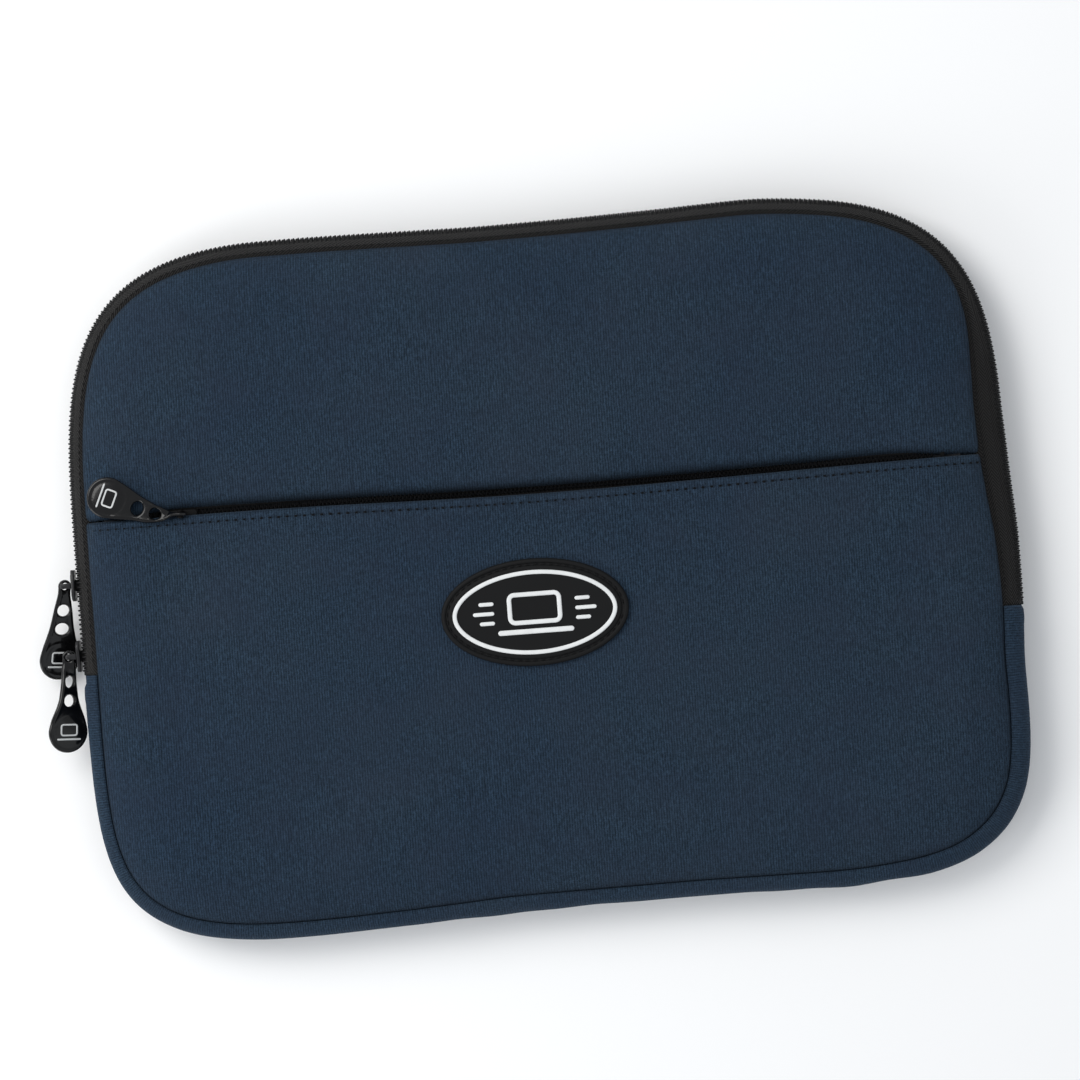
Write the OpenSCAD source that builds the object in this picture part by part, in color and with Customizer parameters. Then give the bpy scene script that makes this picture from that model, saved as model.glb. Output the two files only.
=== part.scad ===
// Zipped neoprene laptop sleeve with a front pocket.
// It lies on its back: z = 0 is the back rest face, +Z is the front,
// X is to the right seen from the front, Y is towards the top zip edge.
// The origin is at the middle of the width and height.

/* [Shell] */
// Width of the closed sleeve
width = 354.4; // [340:1:370]
// Height of the closed sleeve
height = 262; // [250:1:275]
// Radius of the two upper corners
top_radius = 72; // [66:1:73]
// Radius of the two lower corners
bottom_radius = 58; // [50:1:60]
// Thickness of the neoprene panels
neoprene = 3.5; // [3:0.1:3.6]
// Thickness of the linings and of the pocket's back wall
skin = 0.8; // [0.5:0.1:0.9]

/* [Opening] */
// Height at which the two main zip chains end, on both sides
zip_end_y = -28; // [-30:1:-27]
// Line across which the front folds when it is opened
fold_y = -37.5; // [-42:0.5:-37]
// Lower edge of the pocket mouth
pocket_y = 28; // [24:1:32]
// Gap between the pocket hem and the upper panel
mouth = 3.5; // [3.5:0.1:4.5]

/* [Sliders] */
// Position of the upper main slider along the left side
upper_slider_y = 6.2; // [5:0.5:12]
// Position of the lower main slider along the left side
lower_slider_y = -20.5; // [-21:0.5:-19.5]
// Position of the pocket slider from the middle
pocket_slider_x = -134; // [-136:1:-110]
// Tilt of the two hanging pulls about their length
pull_tilt = 30; // [26:1:32]

/* [Badge] */
// Length of the badge
badge_length = 70; // [60:1:72]
// Height of the badge
badge_height = 40; // [32:1:40]

/* [Hidden] */
thickness = 28;
zip_z = 13;      // plane between the two main zip chains
left_x = -width / 2;
seam_gap = 0.05; // between neighbouring panels and layers
zip_gap = 0.1;   // at the edges of the zip tapes

// both sides of the fold, and the top of the pocket mouth
fold_top_y = fold_y + seam_gap;
fold_bottom_y = fold_y - seam_gap;
mouth_top_y = pocket_y + mouth;

flat_inset = 26; // where the shaped rim of a panel meets its flat middle
rim_overlap = 1; // how far the flat middle runs into the rim

panel_color = [0.13, 0.20, 0.28];
pocket_color = [0.14, 0.21, 0.29];
lining_color = [0.10, 0.10, 0.11];
wall_color = [0.11, 0.12, 0.14];
tape_color = [0.11, 0.11, 0.12];
coil_color = [0.06, 0.06, 0.07];
stop_color = [0.10, 0.10, 0.11];
slider_color = [0.05, 0.05, 0.05];
bail_color = [0.08, 0.08, 0.08];
pull_color = [0.04, 0.04, 0.04];
mark_color = [0.92, 0.93, 0.93];

// ---- profiles: [inset from the outline, z] --------------------------------

front_profile = [
    [7, 20.6], [7.7, 22.3], [10, 24], [14, 25.7], [20, 27.4], [24, thickness],
    [flat_inset, thickness], [flat_inset, thickness - neoprene],
    [20, 23.9], [14, 22.8], [11, 21.8], [9.6, 20.6]];
back_profile = [
    [7, 5.4], [7.7, 3.6], [10, 1.9], [14, 0.6], [20, 0],
    [flat_inset, 0], [flat_inset, neoprene],
    [20, 3.6], [14, 4.1], [11, 4.7], [9.6, 5.4]];
gusset_profile = [
    [7, 5.5], [4.4, 6.4], [2.2, 8.2], [0.6, 10.6], [0, 13],
    [0.6, 15.4], [2.2, 17.8], [4.4, 19.6], [7, 20.5], [9.4, 20.5],
    [8.6, 18.2], [5.4, 16.4], [3.8, 14.8], [3.3, 13], [3.8, 11.2],
    [5.4, 9.6], [8.6, 7.8], [9.4, 5.5]];
binding_profile = [[9.6, 7.8], [9.6, 18.2], [10.2, 18.2], [10.2, 7.8]];
front_tape_profile = [[2.7, 14.6], [3.3, 13.9], [9.4, 19.8], [9.0, 20.5], [7.6, 20.5]];
front_coil_profile = [
    [0.5, 13.5], [0, 14], [0, 15.4], [0.6, 16], [2, 16], [2.5, 15.5], [2.5, 14], [2, 13.5]];

// a front zip profile reflected in the zip plane
function to_back(profile) = [for (point = profile) [point[0], 2 * zip_z - point[1]]];

// ---- perimeter and cutting helpers ----------------------------------------

// the children and their mirror image across the middle
module both_sides()
    for (m = [0, 1]) mirror([m, 0, 0]) children();

// a run of a profile along a straight side, at x = -reach
module side_run(reach, y0, y1, profile)
    translate([-reach, y1, 0]) rotate([90, 0, 0]) linear_extrude(y1 - y0) polygon(profile);

// the same profile around a corner
module corner_run(radius, profile)
    rotate_extrude(angle = 90, $fn = 96)
        polygon([for (point = profile) [radius - point[0], point[1]]]);

// the lower part of the perimeter: bottom edge, bottom corners, sides up to y_end
module loop_low(profile, y_end) {
    x = width / 2 - bottom_radius;
    y = -height / 2 + bottom_radius;
    both_sides() side_run(width / 2, y, y_end, profile);
    rotate([0, 0, 90]) side_run(height / 2, -x, x, profile);
    translate([x, y, 0]) rotate([0, 0, -90]) corner_run(bottom_radius, profile);
    translate([-x, y, 0]) rotate([0, 0, 180]) corner_run(bottom_radius, profile);
}

// the upper part of the perimeter: sides from y_end, top corners, top edge
module loop_high(profile, y_end) {
    x = width / 2 - top_radius;
    y = height / 2 - top_radius;
    both_sides() side_run(width / 2, y_end, y, profile);
    rotate([0, 0, -90]) side_run(height / 2, -x, x, profile);
    translate([x, y, 0]) corner_run(top_radius, profile);
    translate([-x, y, 0]) rotate([0, 0, 90]) corner_run(top_radius, profile);
}

// points of a quarter circle about [x, y], in 16 steps
function quarter(x, y, radius, start) =
    [for (i = [0:16]) let (a = start + 90 * i / 16) [x + radius * cos(a), y + radius * sin(a)]];

// outline of the sleeve seen from the front, moved inwards by inset
function outline(inset) =
    let (
        top_x = width / 2 - top_radius,
        top_y = height / 2 - top_radius,
        bottom_x = width / 2 - bottom_radius,
        bottom_y = -height / 2 + bottom_radius
    )
    concat(
        quarter(top_x, top_y, top_radius - inset, 0),
        quarter(-top_x, top_y, top_radius - inset, 90),
        quarter(-bottom_x, bottom_y, bottom_radius - inset, 180),
        quarter(bottom_x, bottom_y, bottom_radius - inset, 270));

// a flat layer in that outline, with its back face at z
module slab(inset, z, thick)
    translate([0, 0, z]) linear_extrude(thick) polygon(outline(inset));

// cutting blocks that take in everything between two heights, above one or below one
module band(y0, y1) translate([-width, y0, -50]) cube([2 * width, y1 - y0, 150]);
module above(y) band(y, y + height);
module below(y) band(y - height, y);

// ---- shell ----------------------------------------------------------------

lining_inset = 14;
back_lining_z = 4.3;
front_lining_z = 20.7;
wall_inset = 15;
wall_z = 21.6;
wall_rise = 12; // pocket back wall above the lower edge of the mouth
hem_inset = 27;
hem_depth = 9;
hem_thick = 0.7;

// a whole panel: rim all round plus the flat middle
module shell(profile, flat_z) {
    loop_low(profile, 0);
    loop_high(profile, 0);
    slab(flat_inset - rim_overlap, flat_z, neoprene);
}
module front_shell() shell(front_profile, thickness - neoprene);
module front_lining() slab(lining_inset, front_lining_z, skin);
module pocket_back_wall() slab(wall_inset, wall_z, skin);

module back_panel() color(panel_color) shell(back_profile, 0);
module back_lining() color(lining_color) slab(lining_inset, back_lining_z, skin);
module bottom_gusset() color([0.13, 0.21, 0.29]) loop_low(gusset_profile, zip_end_y);
// binding tape that covers the gusset's seam allowance inside
module gusset_binding() color([0.08, 0.08, 0.09]) loop_low(binding_profile, zip_end_y - 6);

module front_panel_upper() color(panel_color)
    intersection() {
        front_shell();
        above(mouth_top_y);
    }
module pocket_panel_upper() color(pocket_color)
    intersection() {
        front_shell();
        band(fold_top_y, pocket_y);
    }
module pocket_panel_lower() color(pocket_color)
    intersection() {
        front_shell();
        below(fold_bottom_y);
    }
// the pocket hem is turned under along the mouth
module pocket_hem_fold() color([0.12, 0.18, 0.25])
    translate([left_x + hem_inset, pocket_y - hem_depth,
               thickness - neoprene - seam_gap - hem_thick])
        cube([width - 2 * hem_inset, hem_depth, hem_thick]);

module front_lining_upper() color(lining_color)
    intersection() {
        front_lining();
        above(fold_top_y);
    }
module front_lining_lower() color(lining_color)
    intersection() {
        front_lining();
        below(fold_bottom_y);
    }
module pocket_back_wall_upper() color(wall_color)
    intersection() {
        pocket_back_wall();
        band(fold_top_y, pocket_y + wall_rise + seam_gap);
    }
module pocket_back_wall_lower() color(wall_color)
    intersection() {
        pocket_back_wall();
        below(fold_bottom_y);
    }

// ---- main zip -------------------------------------------------------------

tape_end_y = zip_end_y + zip_gap;
coil_end_y = zip_end_y + 1.6;

module main_zip_tape_back() color(tape_color) loop_high(to_back(front_tape_profile), tape_end_y);
module main_zip_tape_front() color(tape_color) loop_high(front_tape_profile, tape_end_y);
module main_zip_coil_back() color(coil_color) loop_high(to_back(front_coil_profile), coil_end_y);
module main_zip_coil_front() color(coil_color) loop_high(front_coil_profile, coil_end_y);
// stops crimped over the back chain at its two ends
module main_zip_end_stops() color(stop_color)
    both_sides() translate([left_x, tape_end_y, zip_z - 3]) cube([2.6, 1.4, 2.5]);

// ---- main sliders ---------------------------------------------------------

bar_out = 4.9;    // crossbar axis, outwards from the side of the sleeve
bar_radius = 0.7;
pull_shift = 1.4; // pull from the middle of its crossbar

// the sliders ride on the left side, outwards is -X
module at_side(y) translate([left_x, y, zip_z]) children();

// slider body: outer plate, neck between the chains, inner plate
module slider_body() {
    translate([-1.7, -6, -4]) cube([1.4, 12, 8]);
    translate([-1.0, -1.6, -0.4]) cube([6.2, 3.2, 0.8]);
    translate([4.7, -5, -1.1]) cube([1, 10, 2.2]);
}
// two ears and the crossbar that the pull hangs on
module slider_bail() {
    for (side = [-1, 1])
        translate([-6.0, -1.1, side * 3 - 0.5]) cube([4.25, 2.2, 1]);
    translate([-bar_out, 0, -3.2]) cylinder(r = bar_radius, h = 6.4, $fn = 32);
}
module upper_slider() color(slider_color) at_side(upper_slider_y) slider_body();
module lower_slider() color(slider_color) at_side(lower_slider_y) slider_body();
module upper_slider_bail() color(bail_color) at_side(upper_slider_y) slider_bail();
module lower_slider_bail() color(bail_color) at_side(lower_slider_y) slider_bail();

// ---- pulls ----------------------------------------------------------------

// Distances along a pull are measured from its pivot: a stem that widens
// in two steps, then a round bowl.
stem_start = 4;
stem_bend = 16;
bowl_centre = 28.3;
bowl_radius = sqrt(60);
blade_thick = 1.8;

function stem_half_width(s) =
    s < stem_bend ? 2.6 + (s - stem_start) * 0.175 : 4.7 + (s - stem_bend) * 0.245;

// right-hand edge of a blade pointing along -Y, ending at the tip
blade_edge = concat(
    [for (i = [0:8]) let (s = stem_start + i * 2.5) [stem_half_width(s), -s]],
    [for (a = [-15:15:90]) [bowl_radius * cos(a), -bowl_centre - bowl_radius * sin(a)]]);
blade_outline = concat(
    blade_edge,
    [for (i = [len(blade_edge) - 2:-1:0]) [-blade_edge[i][0], blade_edge[i][1]]]);

// spoon-shaped blade with two holes
module pull_blade()
    difference() {
        translate([0, 0, -blade_thick / 2]) linear_extrude(blade_thick) polygon(blade_outline);
        for (s = [9.3, 16.5])
            translate([0, -s, -3]) cylinder(r = 1.9, h = 6, $fn = 32);
    }
// ring around the crossbar
module pull_eye(radius, thick)
    difference() {
        translate([0, 0, -thick / 2]) cylinder(r = radius, h = thick, $fn = 40);
        translate([0, 0, -2]) cylinder(r = 1.1, h = 4, $fn = 40);
    }
// eye, neck and blade; drop lowers the blade's tip towards the back
module hanging_pull(drop) {
    pull_eye(2.6, 2);
    translate([-1.5, -5.2, -0.8]) cube([3, 3.4, 1.6]);
    rotate([drop, 0, 0]) rotate([0, pull_tilt, 0]) pull_blade();
}
module upper_pull() color(pull_color)
    at_side(upper_slider_y)
        translate([-bar_out, 0, -pull_shift]) rotate([0, 0, -10]) hanging_pull(drop = 11);
module lower_pull() color(pull_color)
    at_side(lower_slider_y)
        translate([-bar_out, 0, pull_shift]) rotate([0, 0, -5]) hanging_pull(drop = 0);

// ---- pocket zip -----------------------------------------------------------

pocket_zip_half = width / 2 - 26;
pocket_tape_thick = 0.6;
lower_tape_depth = 10;
pocket_bar_z = 29.4;

// a bar along the whole pocket zip, shortened by trim at each end
module pocket_bar(y, z, depth, thick, trim = 0)
    translate([-pocket_zip_half + trim, y, z])
        cube([2 * (pocket_zip_half - trim), depth, thick]);

module pocket_zip_tape_upper() color(tape_color)
    pocket_bar(mouth_top_y + zip_gap, 23.6, 11, pocket_tape_thick);
module pocket_zip_tape_lower() color(tape_color)
    pocket_bar(pocket_y - lower_tape_depth, 22.6, lower_tape_depth, pocket_tape_thick);
module pocket_zip_coil() color(coil_color)
    for (y = [0.3, mouth / 2 + 0.25])
        pocket_bar(pocket_y + y, 23.1, mouth / 2 - 0.55, 1.4, trim = 2);
module pocket_zip_stops() color(stop_color)
    for (side = [-1, 1])
        translate([side * (pocket_zip_half - 1) - 0.8, pocket_y + 0.3, 23.0])
            cube([1.6, mouth - 0.6, 1.6]);

module at_pocket_slider(z = 0)
    translate([pocket_slider_x, pocket_y + mouth / 2, z]) children();

// outer plate, neck, inner plate
module pocket_slider() color(slider_color) at_pocket_slider() {
    translate([-6, -mouth / 2 + 0.15, 24.6]) cube([12, mouth - 0.3, 1.1]);
    translate([-2, -0.2, 22.9]) cube([4, 0.4, 2]);
    translate([-5.5, -1.6, 22.45]) cube([11, 3.2, 0.5]);
}
module pocket_slider_bail() color(bail_color) at_pocket_slider() {
    for (side = [-1, 1])
        translate([-1.2, side * 1.15 - 0.3, 25.75]) cube([2.4, 0.6, 4.55]);
    translate([0, 1.45, pocket_bar_z]) rotate([90, 0, 0])
        cylinder(r = bar_radius, h = 2.9, $fn = 32);
}
// lies parallel to the front, pointing left and a little up
module pocket_pull() color(pull_color) at_pocket_slider(pocket_bar_z) {
    rotate([90, 0, 0]) pull_eye(2.0, 1.5);
    translate([-8, -0.6, -0.7]) cube([6.6, 1.2, 1.4]);
    rotate([0, 0, -106.4]) pull_blade();
}

// ---- badge ----------------------------------------------------------------

badge_centre = [-4.9, -16.6];
badge_thick = 1.6;
relief = 0.5;       // height of the ring and the mark
stroke = 1.7;       // line width of the ring and the screen frame
ring_inset = [4.6, 3.2];
screen = [20, 12];
screen_corner = [-10, -4.6];
badge_z = thickness + seam_gap;
relief_z = badge_z + badge_thick + seam_gap;

// the badge's ellipse, its half axes shortened by inset
function badge_outline(inset = [0, 0]) =
    [for (i = [0:71]) [(badge_length / 2 - inset[0]) * cos(5 * i),
                       (badge_height / 2 - inset[1]) * sin(5 * i)]];
module on_badge(z, thick)
    translate([badge_centre[0], badge_centre[1], z]) linear_extrude(thick) children();

module badge_base() color([0.04, 0.04, 0.05])
    on_badge(badge_z, badge_thick) polygon(badge_outline());
module badge_ring() color(mark_color)
    on_badge(relief_z, relief) difference() {
        polygon(badge_outline(ring_inset));
        polygon(badge_outline(ring_inset + [stroke, stroke]));
    }
// plain pictogram of an open notebook computer, as separate raised strokes
module badge_mark() color(mark_color)
    on_badge(relief_z, relief) {
        difference() {
            translate(screen_corner) square(screen);
            translate(screen_corner + [stroke, stroke]) square(screen - 2 * [stroke, stroke]);
        }
        translate([-14, -8]) square([28, 2]);
        // three strokes on each side, the middle one longer
        both_sides() for (k = [-1:1])
            translate([15.5, k * 3.6 - 0.2]) square([k == 0 ? 7 : 4.5, 1.4]);
    }

back_panel();
back_lining();
bottom_gusset();
gusset_binding();
front_panel_upper();
front_lining_upper();
front_lining_lower();
pocket_panel_upper();
pocket_panel_lower();
pocket_hem_fold();
pocket_back_wall_upper();
pocket_back_wall_lower();
main_zip_tape_back();
main_zip_tape_front();
main_zip_coil_back();
main_zip_coil_front();
main_zip_end_stops();
upper_slider();
upper_slider_bail();
upper_pull();
lower_slider();
lower_slider_bail();
lower_pull();
pocket_zip_tape_upper();
pocket_zip_tape_lower();
pocket_zip_coil();
pocket_zip_stops();
pocket_slider();
pocket_slider_bail();
pocket_pull();
badge_base();
badge_ring();
badge_mark();
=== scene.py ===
import math

import bmesh
import bpy
import numpy as np
from mathutils import Matrix, Vector
from mathutils.geometry import delaunay_2d_cdt


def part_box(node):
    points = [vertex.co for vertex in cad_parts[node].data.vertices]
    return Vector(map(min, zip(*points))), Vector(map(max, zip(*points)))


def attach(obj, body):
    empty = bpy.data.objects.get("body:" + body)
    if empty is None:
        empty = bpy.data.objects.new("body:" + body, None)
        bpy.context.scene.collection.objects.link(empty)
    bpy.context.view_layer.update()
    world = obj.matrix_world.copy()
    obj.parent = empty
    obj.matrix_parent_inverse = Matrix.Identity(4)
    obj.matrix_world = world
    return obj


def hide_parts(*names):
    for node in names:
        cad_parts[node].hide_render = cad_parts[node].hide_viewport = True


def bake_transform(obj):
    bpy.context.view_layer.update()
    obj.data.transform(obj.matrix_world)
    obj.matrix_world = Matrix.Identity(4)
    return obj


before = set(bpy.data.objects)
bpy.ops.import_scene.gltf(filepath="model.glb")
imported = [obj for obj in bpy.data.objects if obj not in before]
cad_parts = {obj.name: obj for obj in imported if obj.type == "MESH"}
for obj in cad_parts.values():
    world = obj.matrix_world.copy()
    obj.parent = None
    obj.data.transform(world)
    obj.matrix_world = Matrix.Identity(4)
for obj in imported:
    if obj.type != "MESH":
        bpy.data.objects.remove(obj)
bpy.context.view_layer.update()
MM = 0.001


def box_mm(node):
    low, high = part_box(node)
    return np.array(low) * 1000, np.array(high) * 1000


def centre_mm(node):
    low, high = box_mm(node)
    return (low + high) / 2


# ---- sizes taken from the frame --------------------------------------------------
strip_low, strip_high = box_mm("bottom_gusset")
HALF_W = strip_high[0]                          # half width of the closed sleeve
HALF_H = box_mm("main_zip_coil_back")[1][1]
TOP_Z = box_mm("front_panel_upper")[1][2]       # height of the front face
ZIP_END_Y = strip_high[1]                       # the chains end here
strip_mid = (strip_low[2] + strip_high[2]) / 2
MID_Z = 13.0 if abs(strip_mid - 13) < 0.5 else strip_mid
MOUTH_Y = box_mm("pocket_panel_upper")[1][1]    # lower edge of the pocket mouth
FOLD_Y = box_mm("pocket_panel_lower")[1][1]
FRONT_Z = strip_high[2] - 0.2                   # front and back seams
BACK_Z = strip_low[2]
UPPER_SLIDER_Y = centre_mm("upper_slider")[1]
LOWER_SLIDER_Y = centre_mm("lower_slider")[1]

BADGE_LOW, BADGE_HIGH = box_mm("badge_base")
BADGE_MID = (BADGE_LOW + BADGE_HIGH) / 2
BADGE_RX, BADGE_RY = ((BADGE_HIGH - BADGE_LOW) / 2)[:2]

BACK_INSET = 6.9        # back seam, in from the outline
SEAM_GAP = 0.25         # front sheet's edge, in from the front seam
NEOPRENE = 3.3
HEM_STITCH = 3.1        # stitch row below the pocket hem
HEM_PITCH = 3.3


# ---- numbers ----------------------------------------------------------------------
def ease(x, start, end):
    """smooth step from 0 at start to 1 at end"""
    t = np.clip((np.asarray(x, float) - start) / (end - start), 0, 1)
    return t * t * (3 - 2 * t)


def bell(x, centre, width):
    return np.exp(-((x - centre) / width) ** 2)


def bilinear(near_left, near_right, far_left, far_right, u, v):
    return ((near_left * (1 - u) + near_right * u) * (1 - v)
            + (far_left * (1 - u) + far_right * u) * v)


NOISE_TABLE = np.random.RandomState(7).rand(64, 64) * 2 - 1


def noise(x, y):
    """smooth value noise from -1 to 1, one cell per unit"""
    x, y = np.asarray(x, float), np.asarray(y, float)
    i, j = np.floor(x).astype(int), np.floor(y).astype(int)
    u, v = x - i, y - j
    u, v = u * u * (3 - 2 * u), v * v * (3 - 2 * v)

    def cell(i, j):
        return NOISE_TABLE[i % 64, j % 64]
    return bilinear(cell(i, j), cell(i + 1, j), cell(i, j + 1), cell(i + 1, j + 1), u, v)


# ---- lines and rings ----------------------------------------------------------------
def unit(rows):
    return rows / np.linalg.norm(rows, axis=1)[:, None]


def left_of(directions):
    return np.stack([-directions[:, 1], directions[:, 0]], 1)


def ring_tangents(ring):
    return unit(np.roll(ring, -1, 0) - np.roll(ring, 1, 0))


def relax_ring(values, times):
    for _ in range(times):
        values = 0.5 * values + 0.25 * (np.roll(values, 1, 0) + np.roll(values, -1, 0))
    return values


def relax_line(values, times):
    """smooths in place and keeps the two ends"""
    for _ in range(times):
        values[1:-1] = 0.5 * values[1:-1] + 0.25 * (values[:-2] + values[2:])
    return values


def arc_lengths(points):
    return np.concatenate([[0], np.cumsum(np.linalg.norm(np.diff(points, axis=0), axis=1))])


def at_lengths(stations, lengths, rows):
    return np.stack([np.interp(stations, lengths, column) for column in rows.T], 1)


def resample(points, step, closed=True):
    points = np.array(points, float)
    if closed:
        points = np.concatenate([points, points[:1]])
    lengths = arc_lengths(points)
    count = max(3, int(round(lengths[-1] / step)))
    return at_lengths(np.linspace(0, lengths[-1], count, endpoint=not closed), lengths, points)


def distance_to(ring, points):
    """distance from each point to a closed ring"""
    edges = np.roll(ring, -1, 0) - ring
    distances = np.full(len(points), 1e9)
    for k in range(0, len(points), 400):
        chunk = points[k:k + 400]
        offset = chunk[:, None] - ring[None]
        t = np.clip((offset * edges[None]).sum(2) / (edges * edges).sum(1)[None], 0, 1)
        gaps = np.linalg.norm(offset - t[..., None] * edges[None], axis=2)
        distances[k:k + 400] = gaps.min(1)
    return distances


def inside_ring(ring, points):
    """even-odd test"""
    x, y = points[:, 0], points[:, 1]
    inside = np.zeros(len(points), bool)
    for (x1, y1), (x2, y2) in zip(ring, np.roll(ring, -1, 0)):
        spans = (y1 > y) != (y2 > y)
        if spans.any():
            inside ^= spans & (x < (x2 - x1) * (y - y1) / (y2 - y1 + 1e-12) + x1)
    return inside


def inside_loops(loops, points):
    """inside the first loop and outside the holes that follow it"""
    inside = inside_ring(loops[0], points)
    for hole in loops[1:]:
        inside &= ~inside_ring(hole, points)
    return inside


def rounded_rect(width, height, radius, segments=6, x=0, y=0):
    points = []
    for x_side, y_side, start in ((1, 1, 0), (-1, 1, 90), (-1, -1, 180), (1, -1, 270)):
        for k in range(segments + 1):
            angle = math.radians(start + 90 * k / segments)
            points.append((x + x_side * (width / 2 - radius) + radius * math.cos(angle),
                           y + y_side * (height / 2 - radius) + radius * math.sin(angle)))
    return points


def oval(x_radius, y_radius, count, y=0):
    return [(x_radius * math.cos(t), y + y_radius * math.sin(t))
            for t in np.linspace(0, 2 * math.pi, count, endpoint=False)]


def mirrored(half):
    """an outline from its +y half"""
    return half + [(x, -y) for x, y in half[::-1]]


# ---- the outline --------------------------------------------------------------------
# superellipse corners, clockwise from the left side:
# x side, y side, centre height, power, whether it starts at the side edge
CORNERS = [(-1, 1, 10, 3.85, True), (1, 1, 10, 3.6, False),
           (1, -1, -30, 4.0, True), (-1, -1, -30, 4.5, False)]
CORNER_X = 60
# how far the soft edges stray from the regular outline: (x or y stations), (offsets)
BOTTOM_STRAY = ((-177, -150, -127, -91, -56, -20, 15, 50, 86, 121, 150, 177),
                (-2.4, -2.7, -2.5, -1.5, 0, 2.2, 2.6, 3.0, 2.7, 1.8, -0.5, -1.1))
TOP_STRAY = ((-110, -91, -56, -20, 15, 50, 86, 110),
             (0, -0.6, -1.1, -1.8, -1.5, -0.7, 0.6, 0))
RIGHT_STRAY = ((-125, -110, -95, -72, -48, -25, 0, 23, 46, 70, 92, 110),
               (0, 1.3, 1.5, 0.2, -1.0, 0, 0, -1.5, -2.3, -1.6, -0.6, 0))


def corner(x_side, y_side, centre_y, power, from_side):
    turn = np.linspace(0, math.pi / 2, 400)
    x = (HALF_W - CORNER_X) * np.cos(turn) ** (2 / power)
    y = (HALF_H - abs(centre_y)) * np.sin(turn) ** (2 / power)
    points = np.stack([x_side * CORNER_X + x_side * x, centre_y + y_side * y], 1)
    return points if from_side else points[::-1]


def outline(step=1.5):
    """closed curve, clockwise from the left zip end; points, outward normals, lengths, total"""
    zip_end = [[-HALF_W, ZIP_END_Y]]
    points = np.concatenate([zip_end, *(corner(*row) for row in CORNERS), zip_end])
    gaps = np.linalg.norm(np.diff(points, axis=0), axis=1)
    points = points[np.concatenate([[True], gaps > 1e-6])]
    lengths = arc_lengths(points)
    stations = np.linspace(0, lengths[-1], int(round(lengths[-1] / step)), endpoint=False)
    edge = at_lengths(stations, lengths, points)
    x, y = edge[:, 0].copy(), edge[:, 1].copy()
    edge[:, 1] += (np.interp(x, *BOTTOM_STRAY) * ease(-y, 60, 112)
                   + np.interp(x, *TOP_STRAY) * ease(y, 70, 118))
    edge[:, 0] += np.interp(y, *RIGHT_STRAY) * ease(x, 110, 160)
    edge = relax_ring(edge, 14)
    return edge, left_of(ring_tangents(edge)), stations, lengths[-1]


EDGE, OUTWARD, ARC, PERIMETER = outline()


def front_seam_inset(x, y):
    right = ease(x, 95, 172)
    upper = ease(y, -34, 30) * (1 - 0.95 * ease(y, 46, 104))
    bottom = ease(-y, 85, 126)
    lower = 1 - ease(y, -34, 20)
    return 5.7 + 4.7 * right * upper + 2.0 * right * lower + 0.5 * bottom * (1 - right)


INSET = relax_ring(front_seam_inset(EDGE[:, 0], EDGE[:, 1]), 20)


def inset_curve(depth):
    return EDGE - OUTWARD * np.reshape(depth, (-1, 1))


SEAM = inset_curve(INSET + SEAM_GAP)

right_end = int(np.argmin(np.abs(EDGE[:, 1] - ZIP_END_Y) + 1e6 * (EDGE[:, 0] < 0)))
ZIP_RUN = list(range(right_end + 1))
STRIP_RUN = list(range(right_end, len(EDGE))) + [0]
ZIP_LENGTH = ARC[right_end]
STRIP_LENGTH = PERIMETER - ZIP_LENGTH


# ---- meshes ---------------------------------------------------------------------------
def add_mesh(name, verts, faces, material):
    """a smooth object from vertices in mm"""
    mesh = bpy.data.meshes.new(name)
    mesh.from_pydata((np.array(verts, float) * MM).tolist(), [],
                     [tuple(int(i) for i in face) for face in faces])
    mesh.validate()
    bm = bmesh.new()
    bm.from_mesh(mesh)
    bmesh.ops.recalc_face_normals(bm, faces=bm.faces)
    bm.to_mesh(mesh)
    bm.free()
    mesh.materials.append(material)
    mesh.polygons.foreach_set("use_smooth", [True] * len(mesh.polygons))
    piece = bpy.data.objects.new(name, mesh)
    bpy.context.scene.collection.objects.link(piece)
    return piece


def register(piece, body=None, nodes=()):
    if body:
        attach(piece, body)
    if nodes:
        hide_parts(*nodes)


def grid_faces(rows, columns, close_rows=False, close_columns=False, caps=False):
    faces = []
    for i in range(rows if close_rows else rows - 1):
        for j in range(columns if close_columns else columns - 1):
            i2, j2 = (i + 1) % rows, (j + 1) % columns
            faces.append((i * columns + j, i2 * columns + j,
                          i2 * columns + j2, i * columns + j2))
    if caps:
        faces.append(tuple(range(columns))[::-1])
        faces.append(tuple((rows - 1) * columns + k for k in range(columns)))
    return faces


def apply_modifiers(piece):
    depsgraph = bpy.context.evaluated_depsgraph_get()
    mesh = bpy.data.meshes.new_from_object(piece.evaluated_get(depsgraph))
    mesh.name = piece.name
    piece.modifiers.clear()
    old = piece.data
    piece.data = mesh
    bpy.data.meshes.remove(old)


def face_towards(piece, up):
    """makes an open sheet's normals point to +Z (up 1) or -Z (up -1)"""
    if sum(face.normal.z * face.area for face in piece.data.polygons) * up < 0:
        piece.data.flip_normals()


def vertices_mm(piece):
    verts = piece.data.vertices
    flat = np.empty(len(verts) * 3, dtype=np.float32)
    verts.foreach_get("co", flat)
    return flat.reshape(-1, 3) * 1000


def add_vectors(piece, name, rows):
    attribute = piece.data.attributes.new(name, "FLOAT_VECTOR", "POINT")
    attribute.data.foreach_set("vector", np.asarray(rows, dtype=np.float32).ravel())


def add_rest(piece):
    add_vectors(piece, "rest", vertices_mm(piece))


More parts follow.
